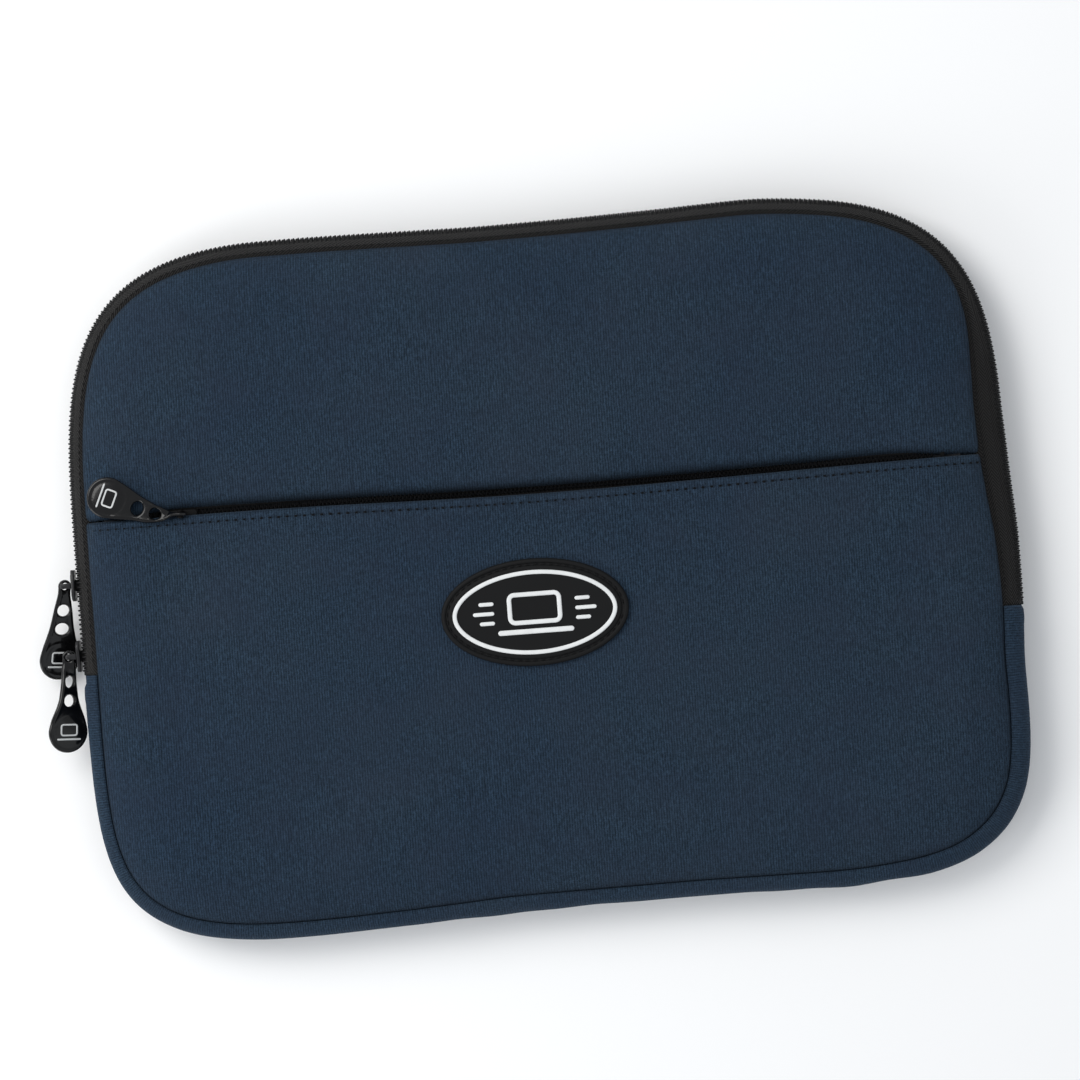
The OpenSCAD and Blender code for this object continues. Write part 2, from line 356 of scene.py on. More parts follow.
def tube(path, radius, sides=6):
    """round capped thread along a 3-D path"""
    path = np.asarray(path, float)
    direction = np.gradient(path, axis=0)
    direction /= np.maximum(np.linalg.norm(direction, axis=1), 1e-9)[:, None]
    side = np.cross(direction, [0, 0, 1.0])
    steep = np.linalg.norm(side, axis=1) < 1e-3
    side[steep] = np.cross(direction[steep], [1.0, 0, 0])
    side = unit(side)
    up = np.cross(side, direction)
    angle = (2 * math.pi * np.arange(sides) / sides)[None, :, None]
    around = np.cos(angle) * side[:, None] + np.sin(angle) * up[:, None]
    radii = np.broadcast_to(radius, len(path))[:, None, None]
    verts = (path[:, None] + radii * around).reshape(-1, 3)
    return verts, grid_faces(len(path), sides, close_columns=True, caps=True)


def plate(outline2d, thickness, bevel, segments):
    """bevelled plate centred on its own plane, facing its own +Z"""
    bm = bmesh.new()
    face = bm.faces.new([bm.verts.new((x, y, -thickness / 2)) for x, y in outline2d])
    grown = bmesh.ops.extrude_face_region(bm, geom=[face])["geom"]
    top = [item for item in grown if isinstance(item, bmesh.types.BMVert)]
    bmesh.ops.translate(bm, verts=top, vec=(0, 0, thickness))
    bmesh.ops.recalc_face_normals(bm, faces=bm.faces)
    bm.edges.ensure_lookup_table()
    sharp = [edge for edge in bm.edges
             if len(edge.link_faces) == 2 and edge.calc_face_angle(0) > 0.9]
    bmesh.ops.bevel(bm, geom=sharp, offset=bevel, segments=segments, affect="EDGES", profile=0.6)
    verts = np.array([vert.co[:] for vert in bm.verts])
    bm.verts.index_update()
    faces = [tuple(vert.index for vert in face.verts) for face in bm.faces]
    bm.free()
    return verts, faces


FLAT = ((1, 0, 0), (0, 1, 0), (0, 0, 1))


class Parts:
    """collects many small shapes into one mesh"""

    def __init__(self):
        self.verts = []
        self.faces = []

    def add(self, verts, faces):
        first = len(self.verts)
        self.verts.extend(verts)
        self.faces.extend(tuple(i + first for i in face) for face in faces)

    def add_plate(self, outline2d, thickness, bevel, segments, origin, axes=FLAT, bow=0.0):
        """axes are the directions of the plate's own x, y and z; bow lifts its long edges"""
        verts, faces = plate(outline2d, thickness, bevel, segments)
        verts[:, 2] += bow * (verts[:, 1] / 4) ** 2
        self.add(np.asarray(origin, float) + verts @ np.array(axes, float), faces)

    def add_cylinder(self, radius, height, bevel, origin, axes=FLAT):
        self.add_plate(oval(radius, radius, 20), height, bevel, 2, origin, axes)

    def add_stitches(self, points, up, pitch, gap, radius, lift, sides=6):
        """stitches along surface points; up holds the surface normals"""
        points, up = np.asarray(points, float), np.asarray(up, float)
        lengths = arc_lengths(points)
        across = np.linspace(-1, 1, 7)
        height = lift + 0.10 - 0.55 * np.abs(across[:, None]) ** 4
        for k in range(int(lengths[-1] // pitch)):
            stations = np.linspace(k * pitch + gap / 2, (k + 1) * pitch - gap / 2, 7)
            path = (at_lengths(stations, lengths, points)
                    + at_lengths(stations, lengths, up) * height)
            self.add(*tube(path, radius * (1 - 0.25 * np.abs(across) ** 3), sides))

    def add_stroke(self, points, half_width, height, base_z, closed=False):
        """raised flat stroke with rounded shoulders and, if open, round ends"""
        line = resample(points, 0.5, closed)
        tangents = ring_tangents(line) if closed else unit(np.gradient(line, axis=0))
        normals = left_of(tangents)
        section = [(-1, -0.25), (-1, height * 0.45), (-0.82, height * 0.85), (-0.5, height),
                   (0.5, height), (0.82, height * 0.85), (1, height * 0.45), (1, -0.25)]
        rows = [(point, normal, 1.0) for point, normal in zip(line, normals)]

        def end(k, sign):
            return [(line[k] + tangents[k] * sign * half_width * math.sin(turn),
                     normals[k], math.cos(turn)) for turn in (0.4, 0.8, 1.15, 1.45)]
        if not closed:
            rows = end(0, -1)[::-1] + rows + end(-1, 1)
        verts = []
        for point, normal, share in rows:
            for across, rise in section:
                x, y = point + normal * across * half_width * share
                verts.append((x, y, base_z + rise))
        self.add(verts, grid_faces(len(rows), len(section), close_rows=closed,
                                   close_columns=True, caps=not closed))

    def make(self, name, material):
        return add_mesh(name, self.verts, self.faces, material)


# ---- materials --------------------------------------------------------------------------
class Value:
    """a shader output that arithmetic can be written on; each step is a Math node"""

    def __init__(self, shader, socket):
        self.shader = shader
        self.socket = socket

    def __add__(self, other):
        return self.shader.math("ADD", self, other)

    def __radd__(self, other):
        return self.shader.math("ADD", other, self)

    def __sub__(self, other):
        return self.shader.math("SUBTRACT", self, other)

    def __rsub__(self, other):
        return self.shader.math("SUBTRACT", other, self)

    def __mul__(self, other):
        return self.shader.math("MULTIPLY", self, other)

    def __truediv__(self, other):
        return self.shader.math("DIVIDE", self, other)


class Shader:
    def __init__(self, name):
        self.material = bpy.data.materials.new(name)
        self.material.use_nodes = True
        self.tree = self.material.node_tree
        self.surface = self.tree.nodes["Principled BSDF"]

    def feed(self, socket, value):
        if isinstance(value, Value):
            self.tree.links.new(value.socket, socket)
        elif socket.type == "RGBA":
            socket.default_value = (*value, 1)
        else:
            socket.default_value = value

    def node(self, kind, inputs=None, output=0, **settings):
        node = self.tree.nodes.new("ShaderNode" + kind)
        for key, setting in settings.items():
            setattr(node, key, setting)
        for key, value in (inputs or {}).items():
            self.feed(node.inputs[key], value)
        return Value(self, node.outputs[output])

    def math(self, operation, *inputs):
        return self.node("Math", dict(enumerate(inputs)), operation=operation)

    def sine(self, value, period=1):
        return self.math("SINE", value * (2 * math.pi / period))

    def ripple(self, value, period=1):
        """a sine from 0 to 1"""
        return self.sine(value, period) * 0.5 + 0.5

    def coordinates(self, attribute):
        """a vector attribute in mm, and its x, y, z"""
        vector = self.node("Attribute", output="Vector", attribute_name=attribute)
        split = self.node("SeparateXYZ", {0: vector}).socket.node
        return (vector, *(Value(self, output) for output in split.outputs))

    def object_mm(self):
        position = self.node("TexCoord", output="Object")
        return self.node("VectorMath", {0: position, "Scale": 1000.0}, operation="SCALE")

    def noise(self, vector, scale, detail=3.0, rough=0.55):
        return self.node("TexNoise", {"Scale": scale, "Detail": detail, "Roughness": rough,
                                      "Vector": vector})

    def ramp(self, factor, start, end, low=(0, 0, 0), high=(1, 1, 1)):
        color = self.node("ValToRGB", {0: factor})
        elements = color.socket.node.color_ramp.elements
        elements.remove(elements[-1])
        elements[0].position = start
        elements[0].color = (*low, 1)
        elements.new(end).color = (*high, 1)
        return color

    def mix(self, factor, first, second, blend="MIX"):
        return self.node("Mix", {0: factor, 6: first, 7: second}, output=2,
                         data_type="RGBA", blend_type=blend)

    def bump(self, height, strength, distance, **more):
        return self.node("Bump", {"Strength": strength, "Distance": distance * MM,
                                  "Height": height, **more})

    def finish(self, **inputs):
        """sets the surface's inputs; an underscore stands for a space"""
        for name, value in inputs.items():
            self.feed(self.surface.inputs[name.replace("_", " ")], value)
        return self.material


def scaled(color, by):
    return tuple(min(1, channel * by) for channel in color)


def knit(name, base, wale=0.98, course=0.80, attribute="rest"):
    """jersey face: wales of small loops, slightly heathered; wale and course are pitches"""
    shader = Shader(name)
    vector, x, y, z = shader.coordinates(attribute)
    x = x + (shader.noise(vector, scale=0.35, detail=2) - 0.5) * 0.6
    from_wale = shader.math("ABSOLUTE", shader.math("FRACT", x / wale) - 0.5) * 2.0
    wave = shader.ripple(y / course + from_wale * 0.55)
    rib = 1.0 - shader.math("POWER", from_wale, 2.2)
    loop = rib * 0.62 + wave * rib * 0.38
    fuzz = shader.noise(vector, scale=2.6, detail=4, rough=0.7)
    stretched = shader.node("CombineXYZ", {0: x * 1.25, 1: y * 0.52, 2: z * 0.5})
    streak = shader.noise(stretched, scale=1.0, detail=3, rough=0.6)
    streak = shader.ramp(streak, start=0.36, end=0.64)
    heather = shader.noise(vector, scale=1.35, detail=3, rough=0.65)
    heather = shader.ramp(heather, start=0.42, end=0.60)
    blotch = shader.noise(vector, scale=0.020, detail=3, rough=0.5)
    blotch = shader.ramp(blotch, start=0.3, end=0.7,
                         low=(0.43, 0.46, 0.50), high=(0.57, 0.555, 0.54))
    tint = shader.noise(vector, scale=0.045, detail=4, rough=0.6)
    tint = shader.ramp(tint, start=0.38, end=0.66)
    warm = (base[0] * 1.35, base[1] * 1.0, base[2] * 1.03)
    painted_shade_and_wear = shader.node("Attribute", output="Fac", attribute_name="painted_shade_and_wear")
    # dark between the loops, pale flecks, dark streaks, warm patches, broad blotches
    color = shader.mix(loop * 0.95, scaled(base, by=0.20), scaled(base, by=1.80))
    color = shader.mix(heather * 0.55, color, scaled(base, by=2.3))
    color = shader.mix(streak * 0.50, color, scaled(base, by=0.28))
    color = shader.mix(tint * 0.30, color, warm)
    color = shader.mix(0.75, color, blotch, blend="OVERLAY")
    # painted shade: darker along folds and seams, where shade falls
    color = shader.mix(painted_shade_and_wear * 0.85, color, scaled(base, by=0.06))
    loops = shader.bump(loop + fuzz * 0.45, strength=1.0, distance=0.20)
    swell = shader.noise(vector, scale=0.055, detail=2, rough=0.4)
    normal = shader.bump(swell, strength=0.3, distance=1.4, Normal=loops)
    return shader.finish(Base_Color=color, Roughness=0.80 + fuzz * 0.15, Normal=normal,
                         Sheen_Weight=0.10, Sheen_Roughness=0.45,
                         Sheen_Tint=(0.35, 0.50, 0.70), Specular_IOR_Level=0.10)


def herringbone(name, base):
    """woven zip tape; its uvw attribute is (along, across, 0)"""
    rib_width = 2.6
    shader = Shader(name)
    vector, along, across, _ = shader.coordinates("uvw")
    zigzag = shader.math("PINGPONG", across, rib_width)
    weave = shader.ripple(along / 1.35 + zigzag * 0.95)
    rib = shader.ripple(across, period=rib_width)
    fuzz = shader.noise(vector, scale=3.5, detail=4, rough=0.7)
    height = weave * 0.8 + (rib * 0.25 + fuzz * 0.4)
    color = shader.mix(weave, scaled(base, by=0.04), scaled(base, by=2.9))
    color = shader.mix(fuzz * 0.2, color, scaled(base, by=2.2))
    return shader.finish(Base_Color=color, Roughness=0.82,
                         Normal=shader.bump(height, strength=1.0, distance=0.40),
                         Sheen_Weight=0.06, Sheen_Roughness=0.5, Specular_IOR_Level=0.12)


def plain_weave(name, base, pitch, rough, sheen, attribute="rest", ribbed=False):
    shader = Shader(name)
    vector, x, y, _ = shader.coordinates(attribute)
    if ribbed:
        weave = shader.math("ABSOLUTE", shader.sine(y, period=pitch * 1.8))
    else:
        weave = shader.sine(x, period=pitch) * shader.sine(y, period=pitch)
    fuzz = shader.noise(vector, scale=2.2, detail=4, rough=0.7)
    cloud = shader.noise(vector, scale=0.03, detail=3)
    color = shader.mix(weave * 0.3 + 0.5, scaled(base, by=0.7), scaled(base, by=1.4))
    color = shader.mix(cloud * 0.35, color, scaled(base, by=1.7))
    normal = shader.bump(weave * 0.5 + fuzz * 0.5, strength=0.5, distance=0.15)
    return shader.finish(Base_Color=color, Roughness=rough, Normal=normal,
                         Sheen_Weight=sheen, Sheen_Roughness=0.5, Specular_IOR_Level=0.25)


def hard(name, base, rough, grain, depth, specular, edge=None, coat=0.0):
    """moulded or enamelled surface: grain and smudges; with an edge colour, also scratches
    and wear on the edges"""
    shader = Shader(name)
    vector = shader.object_mm()
    grain = shader.noise(vector, scale=grain, detail=3, rough=0.6)
    smudge = shader.noise(vector, scale=0.22, detail=4, rough=0.6)
    color = shader.mix(smudge * 0.5, scaled(base, by=0.8), scaled(base, by=1.5))
    roughness = (rough - 0.08) + smudge * 0.2
    if edge:
        stretched = shader.node("Mapping", {0: vector, "Scale": (3.0, 0.12, 0.6),
                                            "Rotation": (0.2, 0.1, 0.5)})
        scratch = shader.noise(stretched, scale=3.0, detail=6, rough=0.8)
        roughness = roughness + shader.math("GREATER_THAN", scratch, 0.66) * 0.16
        pointed = shader.node("NewGeometry", output="Pointiness")
        painted_shade_and_wear = shader.node("RGBToBW", {0: shader.ramp(pointed, start=0.53, end=0.60)})
        color = shader.mix(painted_shade_and_wear * (smudge * 0.9), color, edge)
    return shader.finish(Base_Color=color, Roughness=roughness,
                         Normal=shader.bump(grain, strength=0.35, distance=depth),
                         Coat_Weight=coat, Coat_Roughness=0.08, Specular_IOR_Level=specular)


def thread(name, base):
    shader = Shader(name)
    twist = shader.node("TexWave", {"Scale": 0.9, "Distortion": 0.6,
                                    "Vector": shader.object_mm()},
                        output=1, wave_type="BANDS", bands_direction="DIAGONAL")
    color = shader.mix(twist, scaled(base, by=0.6), scaled(base, by=1.4))
    return shader.finish(Base_Color=color, Roughness=0.8,
                         Normal=shader.bump(twist, strength=0.5, distance=0.06),
                         Sheen_Weight=0.05, Specular_IOR_Level=0.1)


NAVY = (0.0146, 0.0268, 0.0432)
MATERIALS = {
    "knit": knit("neoprene_knit", NAVY),
    "knit_strip": knit("neoprene_knit_strip", scaled(NAVY, by=1.05), wale=0.95, attribute="uvw"),
    # in the palette, but worn by no piece
    "core": hard("neoprene_core", (0.010, 0.011, 0.013), rough=0.85, grain=2.5, depth=0.2,
                 specular=0.2),
    "lining": plain_weave("lining_knit", (0.0105, 0.0110, 0.0125), pitch=0.8, rough=0.85,
                          sheen=0.35),
    "wall": plain_weave("pocket_wall_weave", (0.0110, 0.0125, 0.0160), pitch=0.45, rough=0.7,
                        sheen=0.15),
    "binding": plain_weave("binding_rib", (0.0095, 0.0095, 0.0105), pitch=0.8, rough=0.75,
                           sheen=0.15, attribute="uvw", ribbed=True),
    "tape": herringbone("zip_tape_herringbone", (0.0068, 0.0065, 0.0064)),
    "coil": hard("nylon_coil", (0.0055, 0.0055, 0.0059), rough=0.42, grain=9.0, depth=0.02,
                 specular=0.22),
    # painted shade: a darker copy of the coil, for the pocket zip's coil and stops down in the mouth
    "pocket_coil": hard("nylon_coil_painted_shade", (0.0030, 0.0030, 0.0034), rough=0.7, grain=9.0,
                        depth=0.02, specular=0.1),
    # painted shade: tape darker than the main zip's, down in the pocket mouth
    "pocket_tape": plain_weave("zip_tape_painted_shade", (0.0035, 0.0035, 0.0040), pitch=0.9,
                               rough=0.9, sheen=0.0),
    "slider": hard("black_enamel", (0.010, 0.010, 0.011), rough=0.30, grain=7.0, depth=0.02,
                   specular=0.22, edge=(0.05, 0.05, 0.052), coat=0.12),
    "pull": hard("gloss_pull", (0.0028, 0.0028, 0.0032), rough=0.15, grain=5.0, depth=0.010,
                 specular=0.20, edge=(0.02, 0.02, 0.022), coat=0.26),
    "rubber": hard("badge_rubber", (0.0058, 0.0060, 0.0064), rough=0.6, grain=4.5, depth=0.06,
                   specular=0.14),
    "white": hard("badge_white", (0.80, 0.82, 0.82), rough=0.48, grain=5.0, depth=0.03,
                  specular=0.4),
    "thread": thread("navy_thread", (0.0105, 0.0190, 0.0310)),
    # painted shade: near-black tubes standing in for the shade in the needle holes
    "hole": thread("needle_hole_painted_shade", (0.0014, 0.0020, 0.0032)),
    # painted shade: a darker copy of the enamel, for the pocket slider and bail down in the mouth
    "pocket_slider": hard("black_enamel_painted_shade", (0.0040, 0.0040, 0.0044), rough=0.5,
                          grain=7.0, depth=0.02, specular=0.08),
    "black_thread": thread("black_thread", (0.0060, 0.0060, 0.0066)),
    "pull_mark": hard("pull_mark_white", (0.55, 0.56, 0.56), rough=0.45, grain=5.0,
                      depth=0.02, specular=0.5),
}


# ---- pieces swept along the outline -----------------------------------------------------
def sweep(name, run_indices, section, material):
    """section(i, run) gives a closed profile of (inset, z) at outline point i"""
    verts, uvw = [], []
    run, last = 0.0, run_indices[0]
    for i in run_indices:
        run += float(np.linalg.norm(EDGE[i] - EDGE[last]))
        last = i
        profile = np.asarray(section(i, run), float)
        for (inset, z), across in zip(profile, arc_lengths(profile)):
            x, y = EDGE[i] - OUTWARD[i] * inset
            verts.append((x, y, z))
            uvw.append((run, across, 0))
    faces = grid_faces(len(run_indices), len(profile), close_columns=True, caps=True)
    piece = add_mesh(name, verts, faces, material)
    add_vectors(piece, "uvw", uvw)
    add_rest(piece)
    return piece


def inner_normals(line):
    """normals of an (inset, z) line, on the side of larger inset"""
    normals = left_of(unit(np.gradient(line, axis=0)))
    return normals if normals[:, 0].sum() > 0 else -normals


def open_gap(i):
    """0 to 1: how far the chains part between the two main sliders, on the left side"""
    x, y = EDGE[i]
    if x > 0:
        return 0.0
    low, high = LOWER_SLIDER_Y + 3, UPPER_SLIDER_Y - 3
    return float(ease(y, low, low + 7) * (1 - ease(y, high - 7, high)))


def tape_line(i, run, front):
    """the tape's outer face from the chain to past the seam, as (inset, z)"""
    gap = 0.7 * open_gap(i)
    if front:
        side, inset, seam_z = 1, INSET[i], FRONT_Z
        wave = 0.12 * math.sin(run * 0.31) + 0.1 * math.sin(run * 0.113 + 1)
        seam_wave = wave
    else:
        side, inset, seam_z = -1, 6.6, BACK_Z
        wave = 0.12 * math.sin(run * 0.27 + 2)
        seam_wave = 0
    points = np.array([(1.1, MID_Z + side * (1.6 + gap)),
                       (1.9, MID_Z + side * (2.9 + gap)),
                       (inset * 0.5 + 0.5, MID_Z + side * (4.9 + wave + 0.5 * gap)),
                       (inset * 0.8 + 0.4, seam_z - side * 0.75 + seam_wave),
                       (inset + 1.0, seam_z - side * 0.35),
                       (inset + 3.0, seam_z - side * 0.9)])
    lengths = arc_lengths(points)
    return relax_line(at_lengths(np.linspace(0, lengths[-1], 13), lengths, points), 3)


def main_tape(side, body):
    def section(i, run):
        line = tape_line(i, run, side == "front")
        return np.concatenate([line, (line + inner_normals(line) * 0.62)[::-1]])
    tape = sweep(f"main_zip_tape_{side}_cloth", ZIP_RUN, section, MATERIALS["tape"])
    register(tape, body, [f"main_zip_tape_{side}"])


# one tooth: inset from the outline, height from the zip's middle
TOOTH = [(2.9, 3.15), (1.6, 3.15), (0.75, 2.6), (0.38, 1.6),
         (0.38, 0.55), (0.8, -0.25), (1.7, -0.35), (2.6, 0.5)]
# share of the tooth's length, thread radius
TOOTH_RADII = ([0, 0.3, 0.6, 0.75, 1], [0.34, 0.40, 0.44, 0.40, 0.28])
TOOTH_PITCH = 1.75
CHAIN_GAP = 0.95        # how far each half lifts where the zip is open


def main_coil(side, body):
    """one half of the nylon chain: hooked teeth and the cord they are sewn over"""
    sign = 1 if side == "front" else -1
    offset = 0 if side == "front" else TOOTH_PITCH / 2
    parts = Parts()
    for k in range(int((ZIP_LENGTH - 2.4) // TOOTH_PITCH)):
        station = 1.9 + k * TOOTH_PITCH + offset
        point = at_lengths([station], ARC, EDGE)[0]
        normal = unit(at_lengths([station], ARC, OUTWARD))[0]
        gap = CHAIN_GAP * open_gap(int(np.clip(np.searchsorted(ARC, station), 0, len(EDGE) - 1)))
        path = np.array([(*(point - normal * inset), MID_Z + sign * (z + gap))
                         for inset, z in TOOTH])
        path = np.concatenate([path[:1], (path[:-1] + path[1:]) / 2, path[-1:]])
        parts.add(*tube(path, np.interp(np.linspace(0, 1, len(path)), *TOOTH_RADII)))
    teeth = parts.make(f"main_zip_coil_{side}_teeth", MATERIALS["coil"])
    path = [(*(EDGE[i] - OUTWARD[i] * 2.2), MID_Z + sign * (1.7 + CHAIN_GAP * open_gap(i)))
            for i in ZIP_RUN if 1.2 <= ARC[i] <= ZIP_LENGTH - 1.2]
    verts, faces = tube(path, 0.62, sides=8)
    cord = add_mesh(f"main_zip_coil_{side}_teeth_cord", verts, faces, MATERIALS["tape"])
    add_vectors(cord, "uvw", verts)
    register(teeth, body, [f"main_zip_coil_{side}"])
    register(cord, body)


for make_half in (main_tape, main_coil):
    make_half("front", "flap")
    make_half("back", "shell")


def wrinkle(x, y, run):
    """folds along the bottom edge, stronger to the right"""
    strength = float(ease(-y, 112, 128) * (0.25 + 0.75 * ease(x, -70, 10)))
    return strength * (0.75 * math.sin(run * 0.105 + 0.6) + 0.45 * math.sin(run * 0.23 + 2.0)
                       + 0.5 * float(noise(run * 0.06, 3.3)))


def strip_hem(run):
    """how far the strip's skin draws in at its folded ends"""
    from_end = min(run, max(0.0, STRIP_LENGTH - run))
    if from_end < 2.2:
        return 0.75 * (1 - math.sqrt(max(0, 1 - (1 - from_end / 2.2) ** 2)))
    if from_end < 7.0:
        return -0.2 * math.sin((from_end - 2.2) / 4.8 * math.pi)
    return 0.0


def strip_section(i, run):
    """the bottom strip bulges outward from the front seam to the back seam"""
    fold = wrinkle(*EDGE[i], run)
    bulge = 0.35 * float(noise(run * 0.03, 1.0))
    line = []
    for t in np.linspace(1, -1, 21):
        front = t > 0
        depth = INSET[i] + 0.3 if front else BACK_INSET
        height = FRONT_Z - 0.1 - MID_Z if front else MID_Z - BACK_Z - 0.1
        angle = t * math.pi / 2
        middle = math.cos(angle)
        ripple = (0.55 * fold - bulge) * middle * (0.6 + 0.4 * math.sin(3 * t + run * 0.05))
        line.append((depth * (1 - middle ** 0.92) + ripple + 0.25 * middle,
                     MID_Z + height * math.sin(angle)
                     + 0.9 * fold * middle * math.sin(2.5 * t + 0.8)))
    line = np.array(line)
    normals = inner_normals(line)
    hem = strip_hem(run)
    fade = np.clip(np.sin(np.linspace(0, math.pi, len(line))) * 2, 0, 1)[:, None]
    outer = line + normals * (hem * fade)
    return np.concatenate([outer, (outer + normals * (2.6 - hem))[::-1]])


bottom_strip = sweep("bottom_gusset_strip", STRIP_RUN, strip_section, MATERIALS["knit_strip"])


# ---- sheets filled by constrained triangulation --------------------------------------------
def thin(points, fixed, radii):
    """keeps points in order, dropping any nearer than its radius to one already kept"""
    cells = {}
    kept = []

    def put(point):
        cells.setdefault((int(point[0] // 1), int(point[1] // 1)), []).append(point)

    for point in fixed:
        put(point)
    for point, radius in zip(points, radii):
        reach = int(math.ceil(radius))
        column, row = int(point[0] // 1), int(point[1] // 1)
        near = (other for i in range(column - reach, column + reach + 1)
                for j in range(row - reach, row + reach + 1)
                for other in cells.get((i, j), ()))
        limit = radius * radius
        if all((other[0] - point[0]) ** 2 + (other[1] - point[1]) ** 2 >= limit
               for other in near):
            put(point)
            kept.append(point)
    return kept


def triangulate(loops, points):
    """faces between the first loop and its holes, through the inner points"""
    corners = [Vector((float(x), float(y))) for loop in loops for x, y in loop]
    edges = []
    for loop in loops:
        first, count = len(edges), len(loop)
        edges += [(first + k, first + (k + 1) % count) for k in range(count)]
    corners += [Vector((float(x), float(y))) for x, y in points]
    result = delaunay_2d_cdt(corners, edges, [], 1 if len(loops) == 1 else 0, 1e-7)
    verts = np.array([(vert.x, vert.y) for vert in result[0]])
    faces = [tuple(face) for face in result[2]]
    centres = np.array([verts[list(face)].mean(0) for face in faces])
    keep = inside_loops(loops, centres)
    return verts, [face for face, kept in zip(faces, keep) if kept]


def grid_points(xs, ys, shift=0.0):
    """rows of points, every second row moved by shift"""
    x, y = np.meshgrid(xs, ys)
    x = x + (np.arange(x.shape[0]) % 2)[:, None] * shift
    return np.stack([x.ravel(), y.ravel()], 1)


def fold_rows(reach, x_step, y_step):
    """closer points either side of the fold line"""
    return grid_points(np.arange(-HALF_W, HALF_W, x_step),
                       np.arange(FOLD_Y - reach, FOLD_Y + reach, y_step))


def cut_loop(seam, curve, sign, step):
    """the seam ring cut along y = curve(x), keeping the part above (sign 1) or below (-1)"""
    kept = sign * (seam[:, 1] - curve(seam[:, 0])) > 0
    count = len(seam)
    start = [k for k in range(count) if kept[k] and not kept[k - 1]][0]
    end = start
    run = []
    while kept[end % count]:
        run.append(seam[end % count])
        end += 1

    def crossing(near, far):
        for _ in range(40):
            middle = (near + far) / 2
            if (middle[1] - curve(middle[0])) * (near[1] - curve(near[0])) > 0:
                near = middle
            else:
                far = middle
        return (near + far) / 2
    first = crossing(run[0], seam[(start - 1) % count])
    last = crossing(run[-1], seam[end % count])
    xs = np.linspace(last[0], first[0], int(abs(last[0] - first[0]) / step) + 1)[1:-1]
    arc = resample(np.concatenate([[first], np.array(run), [last]]), step, closed=False)
    return np.concatenate([arc, np.stack([xs, curve(xs)], 1)])


# depths of the point rings inside the seam, and of the point rows beside a cut
PANEL_RINGS = [0.35, 0.8, 1.4, 2.1, 3.0, 4.1, 5.5, 7.2, 9.3, 12, 15, 18.5, 22.5, 27]
LINING_RINGS = [1.5, 4, 7, 11, 16, 24]
CUT_ROWS = [0.3, 0.7, 1.2, 1.8, 2.4, 3.0, 3.7, 4.6, 5.8, 7.3, 9.0, 11.5]


def panel(name, height, material, thickness, seam_depth=INSET + SEAM_GAP, ring_depth=INSET,
          rings=PANEL_RINGS, step=1.6, fine=3.4, above=None, below=None, extra=None, up=1):
    """a sheet inside a seam, kept above or below a curve; height(x, y, distance from seam).
    step spaces the outline and fine the middle; extra is (points, radius)"""
    seam = inset_curve(seam_depth)
    curve, sign = (above, 1) if above else (below, -1)
    loop = cut_loop(seam, curve, sign, step) if curve else resample(seam, step)
    points, radii = [], []

    def offer(more, radius):
        points.append(more)
        radii.append(np.full(len(more), radius))

    for depth, before in zip(rings, [0] + rings):
        gap = depth - before
        ring = inset_curve(ring_depth + (SEAM_GAP + depth))
        offer(resample(ring, max(step, min(3.2, 1.1 * gap))), min(1.2, gap * 0.6))
    if curve:
        xs = np.arange(-HALF_W, HALF_W, 1.6)
        for depth, before in zip(CUT_ROWS, [0] + CUT_ROWS):
            offer(np.stack([xs, curve(xs) + sign * depth], 1), min(1.1, (depth - before) * 0.6))
    if extra:
        offer(*extra)
    offer(grid_points(np.arange(-HALF_W, HALF_W, fine), np.arange(-HALF_H, HALF_H, fine * 0.87),
                      shift=fine / 2), fine * 0.62)
    points, radii = np.concatenate(points), np.concatenate(radii)
    for test in (lambda rows: inside_ring(loop, rows),
                 lambda rows: distance_to(loop, rows) > 0.18):
        keep = test(points)
        points, radii = points[keep], radii[keep]
    inner = thin([tuple(point) for point in points], [tuple(point) for point in loop], radii)
    verts, faces = triangulate([loop], inner)
    z = height(verts[:, 0], verts[:, 1], distance_to(seam, verts))
    piece = add_mesh(name, np.column_stack([verts, z]), faces, material)
    face_towards(piece, up)
    add_rest(piece)
    solid = piece.modifiers.new("thick", "SOLIDIFY")
    solid.thickness = thickness * MM
    solid.offset = -1
    solid.use_even_offset = False
    solid.use_rim = True
    return piece


def raw_swell(distance):
    """a quick lip at the seam, a round shoulder, then a slow dome"""
    distance = np.maximum(distance, 0)
    lip = 0.22 * (1 - np.exp(-distance / 0.75))
    shoulder = 1 - (1 - np.clip(distance / 25.0, 0, 1)) ** 2.5
    return lip + (0.80 - lip * 0.8) * shoulder + 0.08075 * ease(distance, 14, 85)


SWELL_FULL = float(raw_swell(np.array([200.0]))[0])


def swell(distance):
    """share of the full height at a distance from the seam"""
    return raw_swell(distance) / SWELL_FULL


def soften(heights, times):
    for _ in range(times):
        pad = np.pad(heights, 1, mode="edge")
        heights = 0.5 * heights + 0.125 * (pad[:-2, 1:-1] + pad[2:, 1:-1]
                                           + pad[1:-1, :-2] + pad[1:-1, 2:])
    return heights


CLOTH_UNIT = 100        # mm to one unit of the simulated sheet


